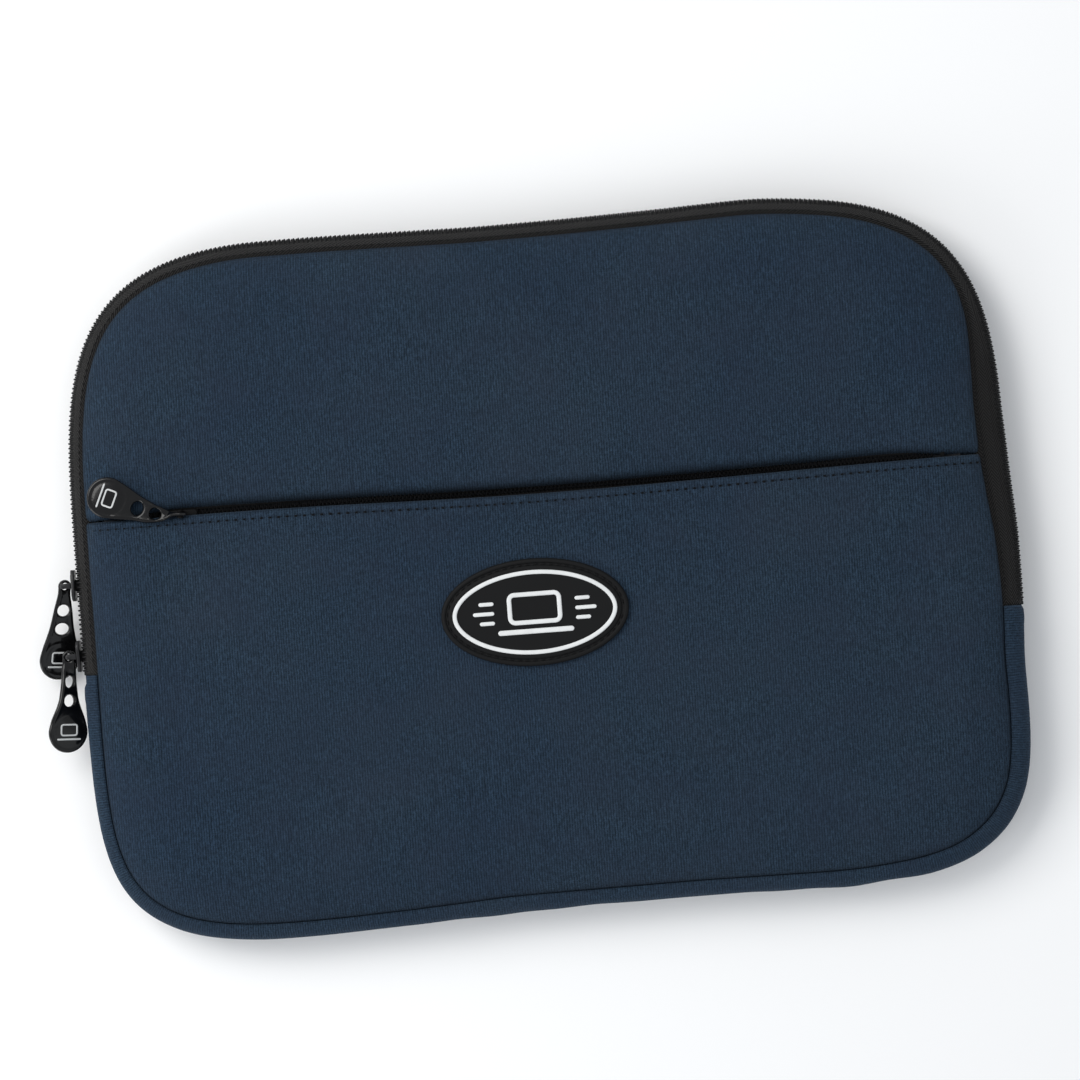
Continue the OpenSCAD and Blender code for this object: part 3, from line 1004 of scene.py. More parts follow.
def simulate_sheet(xs, ys, z, pinned, frames=30):
    """heights, in mm, of a cloth held where pinned and pressed out from inside"""
    x, y = np.meshgrid(xs, ys)
    verts = np.stack([x.ravel() / CLOTH_UNIT, y.ravel() / CLOTH_UNIT, z.ravel()], 1)
    index = np.arange(z.size).reshape(z.shape)
    corners = (index[:-1, :-1], index[:-1, 1:], index[1:, 1:], index[1:, :-1])
    mesh = bpy.data.meshes.new("relief")
    mesh.from_pydata(verts.tolist(), [], np.stack([k.ravel() for k in corners], 1).tolist())
    sheet = bpy.data.objects.new("relief", mesh)
    scene = bpy.context.scene
    scene.collection.objects.link(sheet)
    group = sheet.vertex_groups.new(name="pin")
    group.add([int(i) for i in np.nonzero(pinned.ravel())[0]], 1.0, "REPLACE")
    cloth = sheet.modifiers.new("relief", "CLOTH")
    settings = cloth.settings
    settings.quality = 5
    settings.mass = 0.4
    settings.air_damping = 3.0
    settings.tension_stiffness = 15
    settings.compression_stiffness = 15
    settings.shear_stiffness = 5
    settings.bending_stiffness = 3.0
    settings.vertex_group_mass = "pin"
    settings.shrink_min = -0.0035       # cut a little larger than its frame
    settings.use_pressure = True
    settings.uniform_pressure_force = 0.35
    settings.effector_weights.gravity = 0.0
    cloth.collision_settings.use_collision = False
    cloth.point_cache.frame_start = 1
    cloth.point_cache.frame_end = frames
    gravity = scene.use_gravity
    scene.use_gravity = False
    for frame in range(1, frames + 1):
        scene.frame_set(frame)
    moved = sheet.evaluated_get(bpy.context.evaluated_depsgraph_get()).data.vertices
    flat = np.empty(len(moved) * 3, dtype=np.float32)
    moved.foreach_get("co", flat)
    heights = flat.reshape(-1, 3)[:, 2].reshape(z.shape).astype(float) * CLOTH_UNIT
    sheet.modifiers.remove(cloth)
    bpy.data.objects.remove(sheet)
    bpy.data.meshes.remove(mesh)
    scene.frame_set(1)
    scene.use_gravity = gravity
    return heights


def cloth_relief():
    """the slackness of the front sheet: a simulated cloth without its broad dome"""
    xs = np.arange(-180, 180.1, 5.0)
    ys = np.arange(-125, 125.1, 5.0)
    shape = (len(ys), len(xs))
    points = grid_points(xs, ys)
    inside = inside_ring(SEAM, points)
    distance = distance_to(SEAM, points)
    pinned = ((~inside) | (distance < 2.5)).reshape(shape)
    distance = np.where(inside, distance, 0).reshape(shape)
    start = 0.06 * swell(distance) + np.random.default_rng(3).normal(0, 0.001, shape)
    start[pinned] = 0
    dome = simulate_sheet(xs, ys, start, pinned)
    waves = (soften(dome, 1) - soften(dome, 60)) * ease(distance, 3, 16)
    waves = waves / max(1e-6, float(waves[distance > 12].std())) * 0.30
    waves = 0.85 * np.tanh(waves / 0.85)
    for _ in range(2):                  # to a finer grid
        rows, columns = waves.shape
        finer = np.zeros((2 * rows - 1, 2 * columns - 1))
        finer[::2, ::2] = waves
        finer[1::2, ::2] = 0.5 * (waves[:-1] + waves[1:])
        finer[:, 1::2] = 0.5 * (finer[:, :-2:2] + finer[:, 2::2])
        waves = soften(finer, 2)
    return (np.linspace(xs[0], xs[-1], waves.shape[1]),
            np.linspace(ys[0], ys[-1], waves.shape[0]), waves)


RELIEF_X, RELIEF_Y, RELIEF = cloth_relief()


def relief(x, y):
    """height of the cloth's own waves"""
    def cell(value, axis):
        place = (np.asarray(value, float) - axis[0]) / (axis[1] - axis[0])
        place = np.clip(place, 0, len(axis) - 1.001)
        whole = place.astype(int)
        return whole, place - whole
    i, u = cell(x, RELIEF_X)
    j, v = cell(y, RELIEF_Y)
    return bilinear(RELIEF[j, i], RELIEF[j, i + 1], RELIEF[j + 1, i], RELIEF[j + 1, i + 1], u, v)


# ---- outer panels ----------------------------------------------------------------------------
def badge_radius(x, y, margin=0):
    """1 at the badge's edge, or at a margin outside it"""
    return np.sqrt(((x - BADGE_MID[0]) / (BADGE_RX + margin)) ** 2
                   + ((y - BADGE_MID[1]) / (BADGE_RY + margin)) ** 2)


def front_z(x, y, from_seam):
    edge_z = FRONT_Z - 1.7
    z = edge_z + (TOP_Z + 0.05 - edge_z) * swell(from_seam)
    waves = 0.22 * noise(x / 46 + 3.1, y / 39 + 7.7) + 0.08 * noise(x / 17, y / 19)
    waves = waves + relief(x, y) * (1 - 0.7 * bell(y, MOUTH_Y, 9.0))
    pucker = 0.22 * noise(x / 9 + 5, y / 9) * bell(from_seam, 3.0, 3.0)
    badge_dip = 0.35 * bell(badge_radius(x, y), 1.02, 0.055)
    near_badge = 1 - ease(badge_radius(x, y, margin=6), 0.85, 1.35)
    return (z + (waves - 0.2) * ease(from_seam, 4, 26) * (1 - 0.9 * near_badge)
            + pucker - badge_dip)


def hem_y(x):
    """upper edge of the pocket panel"""
    x = np.asarray(x, float)
    return MOUTH_Y + 1.25 - 2.05 * bell(x, 12, 82) + 0.10 * np.sin(x / 21.0)


def mouth_top_y(x):
    """lower edge of the upper panel, which leaves the mouth open in the middle"""
    x = np.asarray(x, float)
    return hem_y(x) + 0.3 + 2.1 * (1 - ease(np.abs(x + 1), 131, 163))


def roll_down(from_edge, radius, depth):
    """drop of a rounded edge"""
    share = np.clip(from_edge / radius, 0, 1)
    return depth * (1 - np.sqrt(np.maximum(0, 1 - (1 - share) ** 2)))


def upper_z(x, y, from_seam):
    from_edge = y - mouth_top_y(x)
    sink = 0.8 * bell(from_edge, 0, 8.0) + 0.6 * bell(from_edge, 0, 17.0)
    return (front_z(x, y, from_seam) - roll_down(from_edge, radius=4.4, depth=3.0)
            - sink * np.clip(1 - (x / 165) ** 6, 0, 1))


def pocket_z(x, y, from_seam):
    from_edge = hem_y(x) - y
    doubled = 0.85 * (1 - ease(from_edge, 7, 12)) * ease(from_seam, 0, 5)
    groove = -0.32 * bell(from_edge, HEM_STITCH, 0.55)
    pucker = (0.16 * np.sin(x * 2 * math.pi / HEM_PITCH)
              * bell(from_edge, HEM_STITCH, 1.2))
    return (front_z(x, y, from_seam) + doubled + groove + pucker
            - roll_down(from_edge, radius=1.7, depth=1.5))


def back_z(x, y, from_seam):
    edge_z = BACK_Z + 1.0
    z = edge_z - edge_z * np.minimum(1, swell(from_seam) * 1.12)
    waves = 0.25 * noise(x / 50 + 9, y / 44) + 0.15
    return np.maximum(0.02, z + waves * ease(from_seam, 4, 20) * (1 - ease(from_seam, 30, 60)))


def add_painted_shade(piece, along_edge):
    """painted shade, 0 to 1, along folded edges and in the seam groove, where shade falls"""
    position = vertices_mm(piece)
    from_seam = distance_to(SEAM, position[:, :2])
    painted_shade_and_wear = np.maximum(along_edge(position[:, 0], position[:, 1]),
                      0.75 * bell(from_seam, 0, 0.75) + 0.18 * bell(from_seam, 0, 2.6))
    attribute = piece.data.attributes.new("painted_shade_and_wear", "FLOAT", "POINT")
    attribute.data.foreach_set("value", np.clip(painted_shade_and_wear, 0, 1).astype(np.float32))


# painted shade above the pocket mouth, where the upper panel rolls down into it
def upper_painted_shade(x, y):
    return 0.95 * bell(y, mouth_top_y(x), 2.3) * np.clip(1 - (x / 168) ** 6, 0, 1)


# painted shade along the hem's edge and in its stitch groove
def pocket_painted_shade(x, y):
    from_edge = hem_y(x) - y
    return 0.35 * bell(from_edge, 0, 0.5) + 0.22 * bell(from_edge, HEM_STITCH, 0.5)


upper = panel("front_panel_upper_knit", upper_z, MATERIALS["knit"], NEOPRENE, above=mouth_top_y)
pocket = panel("pocket_panel_knit", pocket_z, MATERIALS["knit"], NEOPRENE, below=hem_y,
               extra=(fold_rows(reach=17, x_step=1.7, y_step=1.7), 1.0))
add_painted_shade(upper, upper_painted_shade)
add_painted_shade(pocket, pocket_painted_shade)
register(upper, "flap", ["front_panel_upper"])
register(pocket,
         nodes=["pocket_panel_upper", "pocket_panel_lower", "pocket_hem_fold"])
back = panel("back_panel_knit", back_z, MATERIALS["knit"], NEOPRENE,
             seam_depth=BACK_INSET, ring_depth=6.65, up=-1, fine=4.5)
register(back, "shell", ["back_panel"])

# ---- linings -----------------------------------------------------------------------------------
FRONT_LINING_Z = box_mm("front_lining_upper")[1][2]
BACK_LINING_Z = box_mm("back_lining")[1][2]
WALL_Z = box_mm("pocket_back_wall_upper")[1][2]
LINING = dict(rings=LINING_RINGS, step=2.4, fine=6.5)
LINING_FOLD = (fold_rows(reach=18, x_step=3.0, y_step=2.2), 1.5)


def front_lining_z(x, y, from_seam):
    edge_z = FRONT_Z - 1.2
    return (edge_z + (FRONT_LINING_Z - 0.15 - edge_z) * ease(from_seam, -2, 9)
            + 0.18 * noise(x / 30, y / 27))


def back_lining_z(x, y, from_seam):
    edge_z = BACK_Z + 0.6
    return (edge_z - (edge_z - BACK_LINING_Z) * ease(from_seam, -2, 9)
            + 0.15 * noise(x / 31 + 4, y / 25))


def wall_z(x, y, from_seam):
    return WALL_Z + 0.12 * noise(x / 28 + 2, y / 24)


def wall_top_y(x):
    return np.asarray(x, float) * 0 + MOUTH_Y + 11


front_lining = panel("front_lining_sheet", front_lining_z, MATERIALS["lining"], 0.55,
                     seam_depth=INSET + 3.4, ring_depth=INSET + 3.2, extra=LINING_FOLD,
                     **LINING)
back_lining = panel("back_lining_sheet", back_lining_z, MATERIALS["lining"], 0.55,
                    seam_depth=10.6, ring_depth=10.4, **LINING)
pocket_wall = panel("pocket_back_wall_sheet", wall_z, MATERIALS["wall"], 0.5,
                    seam_depth=INSET + 8.0, ring_depth=INSET + 8.0, below=wall_top_y,
                    extra=LINING_FOLD, **LINING)
register(front_lining, nodes=["front_lining_upper", "front_lining_lower"])
register(pocket_wall,
         nodes=["pocket_back_wall_upper", "pocket_back_wall_lower"])
register(back_lining, "shell", ["back_lining"])

# flat tape inside the bottom strip: inset, height from the middle
BINDING = [(9.7, 5.0), (9.5, 2.5), (9.45, 0), (9.5, -2.5), (9.7, -5.0),
           (10.3, -5.0), (10.1, -2.5), (10.05, 0), (10.1, 2.5), (10.3, 5.0)]
binding = sweep("gusset_binding_tape", STRIP_RUN[5:-6],
                lambda i, run: [(inset, MID_Z + z) for inset, z in BINDING],
                MATERIALS["binding"])
register(binding, "shell", ["gusset_binding"])


# ---- thread ---------------------------------------------------------------------------------------
def hem_stitching():
    """a stitch row along the pocket hem, and dark tubes between its stitches as painted shade in the needle holes"""
    xs = np.arange(-HALF_W + 8.5, HALF_W - 12.0, 0.4)
    ys = hem_y(xs) - HEM_STITCH
    zs = pocket_z(xs, ys, distance_to(SEAM, np.stack([xs, ys], 1)))
    slope = np.gradient(zs, xs)
    points = np.stack([xs, ys, zs], 1)
    up = unit(np.stack([-slope, np.zeros_like(slope), np.ones_like(slope)], 1))
    hole_start = 6          # puts the holes between the stitches
    for name, material, first, size in (
            ("pocket_hem_thread", "thread", 0, dict(gap=1.1, radius=0.22, lift=0.08)),
            ("pocket_hem_needle_holes", "hole", hole_start,
             dict(gap=2.1, radius=0.42, lift=-0.06))):
        parts = Parts()
        parts.add_stitches(points[first:], up[first:], pitch=HEM_PITCH, **size)
        register(parts.make(name, MATERIALS[material]), "flap")


def tape_stitching(side, body):
    """a stitch row on the main zip's tape, beside the seam"""
    front = side == "front"
    sign = 1 if front else -1
    points, up = [], []
    for i in ZIP_RUN[3:-3]:
        inset = INSET[i] - 0.75 if front else 5.9
        line = tape_line(i, ARC[i], front)
        line = line[np.argsort(line[:, 0])]
        z = float(np.interp(inset, line[:, 0], line[:, 1])) + sign * 0.02
        points.append((*(EDGE[i] - OUTWARD[i] * inset), z))
        up.append((*(OUTWARD[i] * 0.62), sign * 0.78))
    parts = Parts()
    parts.add_stitches(points, up, pitch=2.6, gap=0.7, radius=0.17, lift=0.05, sides=5)
    stitches = parts.make(f"main_zip_{side}_thread", MATERIALS["black_thread"])
    register(stitches, body)


hem_stitching()
tape_stitching("front", "flap")
tape_stitching("back", "shell")

# ---- badge -------------------------------------------------------------------------------------------
BADGE_SEGMENTS = 160
BADGE_Z = BADGE_LOW[2]
BADGE_DEPTH = BADGE_HIGH[2] - BADGE_LOW[2]
BADGE_TOP = BADGE_Z + BADGE_DEPTH
BADGE_RISE = 1.6        # full height in the section below
# inset from the badge's edge, height; the dip at 1.7 to 2.7 is the stitch groove
BADGE_SECTION = [(0.35, -0.5), (0.05, 0.0), (0.0, 0.5), (0.06, 0.95), (0.25, 1.3), (0.6, 1.5),
                 (1.1, 1.55), (1.5, 1.5), (1.7, 1.22), (1.95, 1.05), (2.45, 1.05), (2.7, 1.22),
                 (2.9, 1.5), (3.4, 1.58), (5, 1.6), (7.5, 1.6), (10, 1.6), (13, 1.6), (16, 1.6),
                 (BADGE_RY - 0.6, 1.6)]
# inset, height above the badge's top
RING_SECTION = [(4.35, -0.25), (4.35, 0.22), (4.46, 0.42), (4.7, 0.5),
                (5.55, 0.5), (5.8, 0.42), (5.92, 0.22), (5.92, -0.25)]


def badge_curve(inset):
    """x and y of the badge's ellipse moved in along its normals"""
    turn = np.linspace(0, 2 * math.pi, BADGE_SEGMENTS, endpoint=False)
    normal_x, normal_y = np.cos(turn) / BADGE_RX, np.sin(turn) / BADGE_RY
    size = np.hypot(normal_x, normal_y)
    return (BADGE_MID[0] + BADGE_RX * np.cos(turn) - normal_x / size * inset,
            BADGE_MID[1] + BADGE_RY * np.sin(turn) - normal_y / size * inset)


def badge_base():
    verts = []
    half = BADGE_RY * 0.5
    for inset, height in BADGE_SECTION:
        x, y = badge_curve(min(inset, half))
        if inset > half:                # shrink towards the centre
            share = 0.04 + 0.96 * (BADGE_RY - inset) / (BADGE_RY - half)
            x = BADGE_MID[0] + (x - BADGE_MID[0]) * share
            y = BADGE_MID[1] + (y - BADGE_MID[1]) * share
        z = BADGE_Z + height / BADGE_RISE * BADGE_DEPTH
        verts += [(px, py, z) for px, py in zip(x, y)]
    rows = len(BADGE_SECTION)
    faces = grid_faces(rows, BADGE_SEGMENTS, close_columns=True)
    faces += [tuple(row * BADGE_SEGMENTS + k for k in range(BADGE_SEGMENTS))
              for row in (0, rows - 1)]
    base = add_mesh("badge_base_moulding", verts, faces, MATERIALS["rubber"])
    register(base, "flap", ["badge_base"])


def badge_ring():
    verts = []
    for inset, height in RING_SECTION:
        verts += [(x, y, BADGE_TOP + height) for x, y in zip(*badge_curve(inset))]
    faces = grid_faces(len(RING_SECTION), BADGE_SEGMENTS, close_rows=True, close_columns=True)
    ring = add_mesh("badge_ring_moulding", verts, faces, MATERIALS["white"])
    register(ring, "flap", ["badge_ring"])


def badge_mark():
    """a rounded frame over a bar, with three bars to each side"""
    x, y = BADGE_MID[:2]
    height = 0.5
    parts = Parts()
    parts.add_stroke(rounded_rect(18.6, 10.4, 1.9, x=x, y=y + 1.6), 0.85, height, BADGE_TOP,
                     closed=True)
    parts.add_stroke([(x - 13.2, y - 7.0), (x + 13.2, y - 7.0)], 0.95, height, BADGE_TOP)
    for side in (-1, 1):
        for row, length in ((-1, 4.2), (0, 6.5), (1, 4.2)):
            start, bar_y = x + side * 15.8, y + row * 3.6 + 0.5
            parts.add_stroke([(start, bar_y), (start + side * length, bar_y)], 0.72, height,
                             BADGE_TOP)
    register(parts.make("badge_mark_moulding", MATERIALS["white"]), "flap",
             ["badge_mark"])


def badge_stitching():
    points = np.array([(x, y, BADGE_Z + 1.12) for x, y in zip(*badge_curve(2.2))])
    points = np.concatenate([points, points[:1]])
    parts = Parts()
    parts.add_stitches(points, np.tile([0, 0, 1.0], (len(points), 1)),
                       pitch=2.9, gap=0.9, radius=0.24, lift=0.12)
    register(parts.make("badge_thread", MATERIALS["black_thread"]), "flap")


badge_base()
badge_ring()
badge_mark()
badge_stitching()

# ---- main sliders ----------------------------------------------------------------------------------------
# plate outlines: (towards the wide end, across)
SLIDER_PLATE = mirrored([(-5.9, 2.35), (-5.4, 2.9), (-2.0, 3.15), (1.2, 3.75), (3.6, 3.95),
                         (5.2, 3.3), (5.9, 1.9)])
SLIDER_SPINE = mirrored([(-4.2, 0.75), (-3.4, 1.15), (3.4, 1.25), (4.4, 0.8)])
SLIDER_WEDGE = [(-2.2, -0.12), (-0.4, -0.38), (1.6, -0.38), (2.2, 0),
                (1.6, 0.38), (-0.4, 0.38), (-2.2, 0.12)]
SLIDER_INNER = mirrored([(-4.9, 0.8), (-2, 1.0), (3.5, 1.1), (4.9, 0.7)])
# (along the zip, out from the sleeve)
BAIL_EAR = [(-1.0, -1.95), (-1.0, 1.2), (-0.75, 1.85), (-0.25, 2.1),
            (0.25, 2.1), (0.75, 1.85), (1.0, 1.2), (1.0, -1.95)]


def main_slider(node, head):
    """slider and bail on the left side, head +1 if the wide end points to +Y;
    returns the crossbar's centre"""
    y = centre_mm(node)[1]
    axes = ((0, head, 0), (0, 0, 1), (-1, 0, 0))
    parts = Parts()
    parts.add_plate(SLIDER_PLATE, 1.3, 0.38, 3, (-HALF_W - 1.05, y, MID_Z), axes, bow=0.10)
    parts.add_plate(SLIDER_SPINE, 0.7, 0.28, 2, (-HALF_W - 1.85, y, MID_Z), axes)
    parts.add_plate(SLIDER_WEDGE, 6.0, 0.08, 1, (-HALF_W + 2.2, y, MID_Z),
                    (*axes[:2], (1, 0, 0)))
    parts.add_plate(SLIDER_INNER, 0.95, 0.25, 2, (-HALF_W + 5.2, y, MID_Z), axes)
    body = parts.make(node + "_body", MATERIALS["slider"])

    outer_x = box_mm(node + "_bail")[0][0]
    pivot = np.array([outer_x + 1.1, y, MID_Z])
    parts = Parts()
    for side in (-1, 1):
        parts.add_plate(BAIL_EAR, 0.95, 0.25, 2, (outer_x + 2.15, y, MID_Z + side * 3.0),
                        ((0, 1, 0), (-1, 0, 0), (0, 0, 1)))
    parts.add_cylinder(0.62, 6.9, 0.12, pivot)
    for side in (-1, 1):
        parts.add_cylinder(0.95, 0.5, 0.18, pivot + (0, 0, side * 3.45))
    bail = parts.make(node + "_bail", MATERIALS["slider"])
    register(body, node, [node])
    register(bail, node, [node + "_bail"])
    return pivot


# ---- pulls ---------------------------------------------------------------------------------------------------
# A pull lies in its own plane: ring at the origin, neck and round bulb towards -y.
BULB_AT = 28.3
BULB_SQUARED = 60       # square of the bulb's radius
RING_RADIUS = 2.55
RING_HOLE = 1.35
PULL_HALF = 0.92        # half thickness
PULL_TOP = PULL_HALF + 0.30
# distance from the ring, half width
NECK = ([0, 3.0, 5.5, 9, 13, 16, 19, 22, 25], [2.45, 2.4, 2.9, 3.6, 4.2, 4.75, 5.5, 6.4, 7.2])
# distance from the ring, half width
NECK_HOLES = ((9.3, 2.25), (16.4, 2.6))


def pull_loops():
    """outer outline, then the ring's hole and the two neck holes"""
    bulb_turn = np.radians(np.linspace(-52, 90, 42))
    along = np.concatenate([np.linspace(1.4, 22.0, 50),
                            BULB_AT + math.sqrt(BULB_SQUARED) * np.sin(bulb_turn)])
    along = np.unique(np.round(along, 3))
    neck = np.interp(along, *NECK)
    bulb = np.sqrt(np.maximum(0, BULB_SQUARED - (along - BULB_AT) ** 2))
    half = np.where(along < 22.5, neck, np.maximum(bulb, np.where(along < 25, neck, 0)))
    half = relax_line(half, 4)
    half[-1] = 0
    right = np.stack([half, -along], 1)
    left = np.stack([-half[:-1], -along[:-1]], 1)[::-1]
    turn = np.radians(np.linspace(180 + 28, -28, 26))
    top = np.stack([RING_RADIUS * np.cos(turn), RING_RADIUS * np.sin(turn)], 1)
    loops = [resample(np.concatenate([right, left, top[1:-1]]), 0.42),
             resample(oval(RING_HOLE, RING_HOLE, 40), 0.3)]
    for distance, half_width in NECK_HOLES:
        loops.append(resample(oval(half_width, 2.2, 60, y=-distance), 0.36))
    return loops


def pull_shape():
    loops = pull_loops()

    def from_edge(points):
        return np.min([distance_to(loop, points) for loop in loops], axis=0)

    edge_points = []
    for depth in (0.16, 0.36, 0.62, 0.95, 1.35):
        for k, loop in enumerate(loops):
            x, y = loop.T
            area = 0.5 * np.sum(x * np.roll(y, -1) - np.roll(x, -1) * y)
            sign = 1 if (area > 0) == (k == 0) else -1
            moved = loop + left_of(ring_tangents(loop)) * sign * depth
            edge_points.append(moved[from_edge(moved) > depth * 0.97])
    edge_points = np.concatenate(edge_points)
    middle = grid_points(np.arange(-9, 9, 0.62), np.arange(-43, 4, 0.54), shift=0.31)
    points = np.concatenate([edge_points, middle])
    radii = np.concatenate([np.full(len(edge_points), 0.13), np.full(len(middle), 0.36)])
    keep = inside_loops(loops, points)
    points, radii = points[keep], radii[keep]
    keep = from_edge(points) > 0.1
    inner = thin([tuple(point) for point in points[keep]],
                 [tuple(point) for loop in loops for point in loop], radii[keep])
    flat, triangles = triangulate(loops, inner)

    edge = from_edge(flat)
    rounding = np.clip(edge / 0.75, 0, 1)
    dome = PULL_HALF * np.sqrt(np.maximum(0, 1 - (1 - rounding) ** 2))
    from_bulb = np.hypot(flat[:, 0], flat[:, 1] + BULB_AT)
    top = dome + 0.16 * bell(distance_to(loops[0], flat), 1.05, 0.42)    # raised rim
    top = top + 0.42 * np.clip(1 - (from_bulb / 6.2) ** 2, 0, 1) - 0.10 * bell(from_bulb, 6.3, 0.7)
    bottom = -dome * 0.95
    rim = edge < 1e-4                   # rim vertices are shared by both faces
    top[rim] = 0
    bottom[rim] = 0
    count = len(flat)
    under = np.where(rim, np.arange(count), np.arange(count) + count)
    verts = np.concatenate([np.column_stack([flat, top]), np.column_stack([flat, bottom])])
    faces = triangles + [tuple(int(under[k]) for k in reversed(face)) for face in triangles]
    used = sorted({k for face in faces for k in face})
    renumber = {k: j for j, k in enumerate(used)}
    return verts[used], [tuple(renumber[k] for k in face) for face in faces]


def pull_mark():
    """a small frame over a bar, on the bulb"""
    parts = Parts()
    parts.add_stroke(rounded_rect(6.2, 4.0, 0.7, 4, y=-BULB_AT + 0.9), 0.32, 0.16, PULL_TOP,
                     closed=True)
    parts.add_stroke([(-4.3, -BULB_AT - 2.6), (4.3, -BULB_AT - 2.6)], 0.34, 0.22,
                     PULL_TOP - 0.06)
    return parts.verts, parts.faces


PULL_SHAPE = pull_shape()
PULL_MARK = pull_mark()


def add_pull(node, place):
    """place moves the pull's own vertices to where it hangs"""
    for suffix, (verts, faces), material, nodes in (
            ("_spoon", PULL_SHAPE, "pull", [node]), ("_mark", PULL_MARK, "pull_mark", [])):
        piece = add_mesh(node + suffix, place(np.array(verts, float)), faces,
                         MATERIALS[material])
        register(piece, node, nodes)


def turned(first, second, angle):
    return (first * np.cos(angle) - second * np.sin(angle),
            first * np.sin(angle) + second * np.cos(angle))


def side_pull(pivot, yaw, tilt, drop, curve, twist=0):
    """hangs a pull by its ring at the pivot. Degrees: yaw about Z, tilt about its length,
    drop towards the floor, twist in the neck only; curve is its sideways bend in mm"""
    yaw, tilt, drop, twist = map(math.radians, (yaw, tilt, drop, twist))
    ring_hold = 0.85 if twist else 0.0      # how much a twisted pull's ring stays level

    def place(verts):
        x, y, z = verts.T
        along = -y
        bend = (along / 40) ** 2
        x, z = x + curve * bend, z + 0.9 * bend
        roll = (tilt * (1 - ring_hold * (1 - ease(along, 2, 7)))
                + twist * ease(along, 3, 10) * (1 - ease(along, 15, 26)))
        x, z = turned(x, z, -roll)
        y, z = turned(y, z, drop)
        x, y = turned(x, y, yaw)
        return np.column_stack([x, y, z]) + pivot
    return place


upper_pivot = main_slider("upper_slider", head=-1)
add_pull("upper_pull", side_pull(upper_pivot + (0, 0, -1.4), yaw=-9.5, tilt=26, drop=10,
                                 curve=-0.9))
lower_pivot = main_slider("lower_slider", head=1)
add_pull("lower_pull", side_pull(lower_pivot + (0, 0, 1.4), yaw=-4.5, tilt=30, drop=0,
                                 curve=-0.8, twist=24))

# ---- pocket zip ---------------------------------------------------------------------------------------------------
# the pocket zip's coil, stops, tape and slider wear darker materials: painted shade inside the pocket mouth
UPPER_TAPE_LOW, UPPER_TAPE_HIGH = box_mm("pocket_zip_tape_upper")
LOWER_TAPE_LOW, LOWER_TAPE_HIGH = box_mm("pocket_zip_tape_lower")
COIL_LOW, COIL_HIGH = box_mm("pocket_zip_coil")
POCKET_SLIDER_LOW, POCKET_SLIDER_HIGH = box_mm("pocket_slider")
POCKET_BAIL_LOW, POCKET_BAIL_HIGH = box_mm("pocket_slider_bail")
POCKET_ZIP_X = UPPER_TAPE_HIGH[0]       # half length
POCKET_ZIP_Y = (COIL_LOW[1] + COIL_HIGH[1]) / 2
POCKET_SLIDER_X = (POCKET_SLIDER_LOW[0] + POCKET_SLIDER_HIGH[0]) / 2
POCKET_PIVOT = (POCKET_SLIDER_X, POCKET_ZIP_Y, 29.4)
POCKET_COIL_PITCH = 1.5


def pocket_tape(node, low_y, high_y, top_z):
    bottom = -0.5
    section = [(low_y, 0), (low_y * 0.5 + high_y * 0.5, 0.04), (high_y, 0),
               (high_y, bottom), (low_y, bottom)]
    xs = np.linspace(-POCKET_ZIP_X, POCKET_ZIP_X, 120)
    verts = [(x, y + 0.08 * math.sin(x / 13), top_z + z + 0.05 * math.sin(x / 9))
             for x in xs for y, z in section]
    faces = grid_faces(len(xs), len(section), close_columns=True, caps=True)
    tape = add_mesh(node + "_cloth", verts, faces, MATERIALS["pocket_tape"])
    add_vectors(tape, "uvw", [(x, y, 0) for x in xs for y, _ in section])
    add_rest(tape)
    register(tape, "flap", [node])


def pocket_coil():
    bottom, top = COIL_LOW[2], COIL_HIGH[2]
    # y from the zip's middle, z
    tooth = [(1.45, bottom + 0.45), (1.35, top - 0.35), (0.6, top - 0.22),
             (-0.25, top - 0.4), (-0.28, bottom + 0.5)]
    parts = Parts()
    for k in range(int((COIL_HIGH[0] - COIL_LOW[0]) / POCKET_COIL_PITCH) - 1):
        for offset, side in ((0, -1), (POCKET_COIL_PITCH / 2, 1)):
            x = COIL_LOW[0] + 0.8 + k * POCKET_COIL_PITCH + offset
            parts.add(*tube([(x, POCKET_ZIP_Y + side * y, z) for y, z in tooth], 0.32, sides=5))
    register(parts.make("pocket_zip_coil_teeth", MATERIALS["pocket_coil"]), "flap",
             ["pocket_zip_coil"])


def pocket_stops():
    parts = Parts()
    for side in (-1, 1):
        origin = (side * (POCKET_ZIP_X - 1), POCKET_ZIP_Y, (COIL_LOW[2] + COIL_HIGH[2]) / 2)
        parts.add_plate(rounded_rect(1.7, 3.0, 0.4, 3), 1.5, 0.25, 2, origin)
    register(parts.make("pocket_zip_stop_pair", MATERIALS["pocket_coil"]),
             "flap", ["pocket_zip_stops"])


def pocket_slider():
    x, y = POCKET_SLIDER_X, POCKET_ZIP_Y
    low, high = POCKET_SLIDER_LOW[2], POCKET_SLIDER_HIGH[2]
    parts = Parts()
    parts.add_plate(rounded_rect(12, 3.1, 1.2, 5), 1.05, 0.3, 3, (x, y, high - 0.55))
    parts.add_plate(rounded_rect(3.6, 0.36, 0.1, 2), 2.2, 0.05, 1, (x, y, (low + high) / 2 - 0.2))
    parts.add_plate(rounded_rect(11, 3.1, 1.2, 5), 0.48, 0.15, 2, (x, y, low + 0.26))
    body = parts.make("pocket_slider_body", MATERIALS["pocket_slider"])

    upright = ((1, 0, 0), (0, 0, 1), (0, -1, 0))
    low = POCKET_BAIL_LOW[2]
    height = POCKET_BAIL_HIGH[2] - low
    parts = Parts()
    for side in (-1, 1):
        parts.add_plate(rounded_rect(2.2, height, 0.8, 5, y=height / 2), 0.56, 0.14, 2,
                        (x, y + side * 1.15, low), upright)
    parts.add_cylinder(0.6, 2.85, 0.1, POCKET_PIVOT, upright)
    bail = parts.make("pocket_slider_bail_loop", MATERIALS["pocket_slider"])
    register(body, "pocket_slider", ["pocket_slider"])
    register(bail, "pocket_slider", ["pocket_slider_bail"])


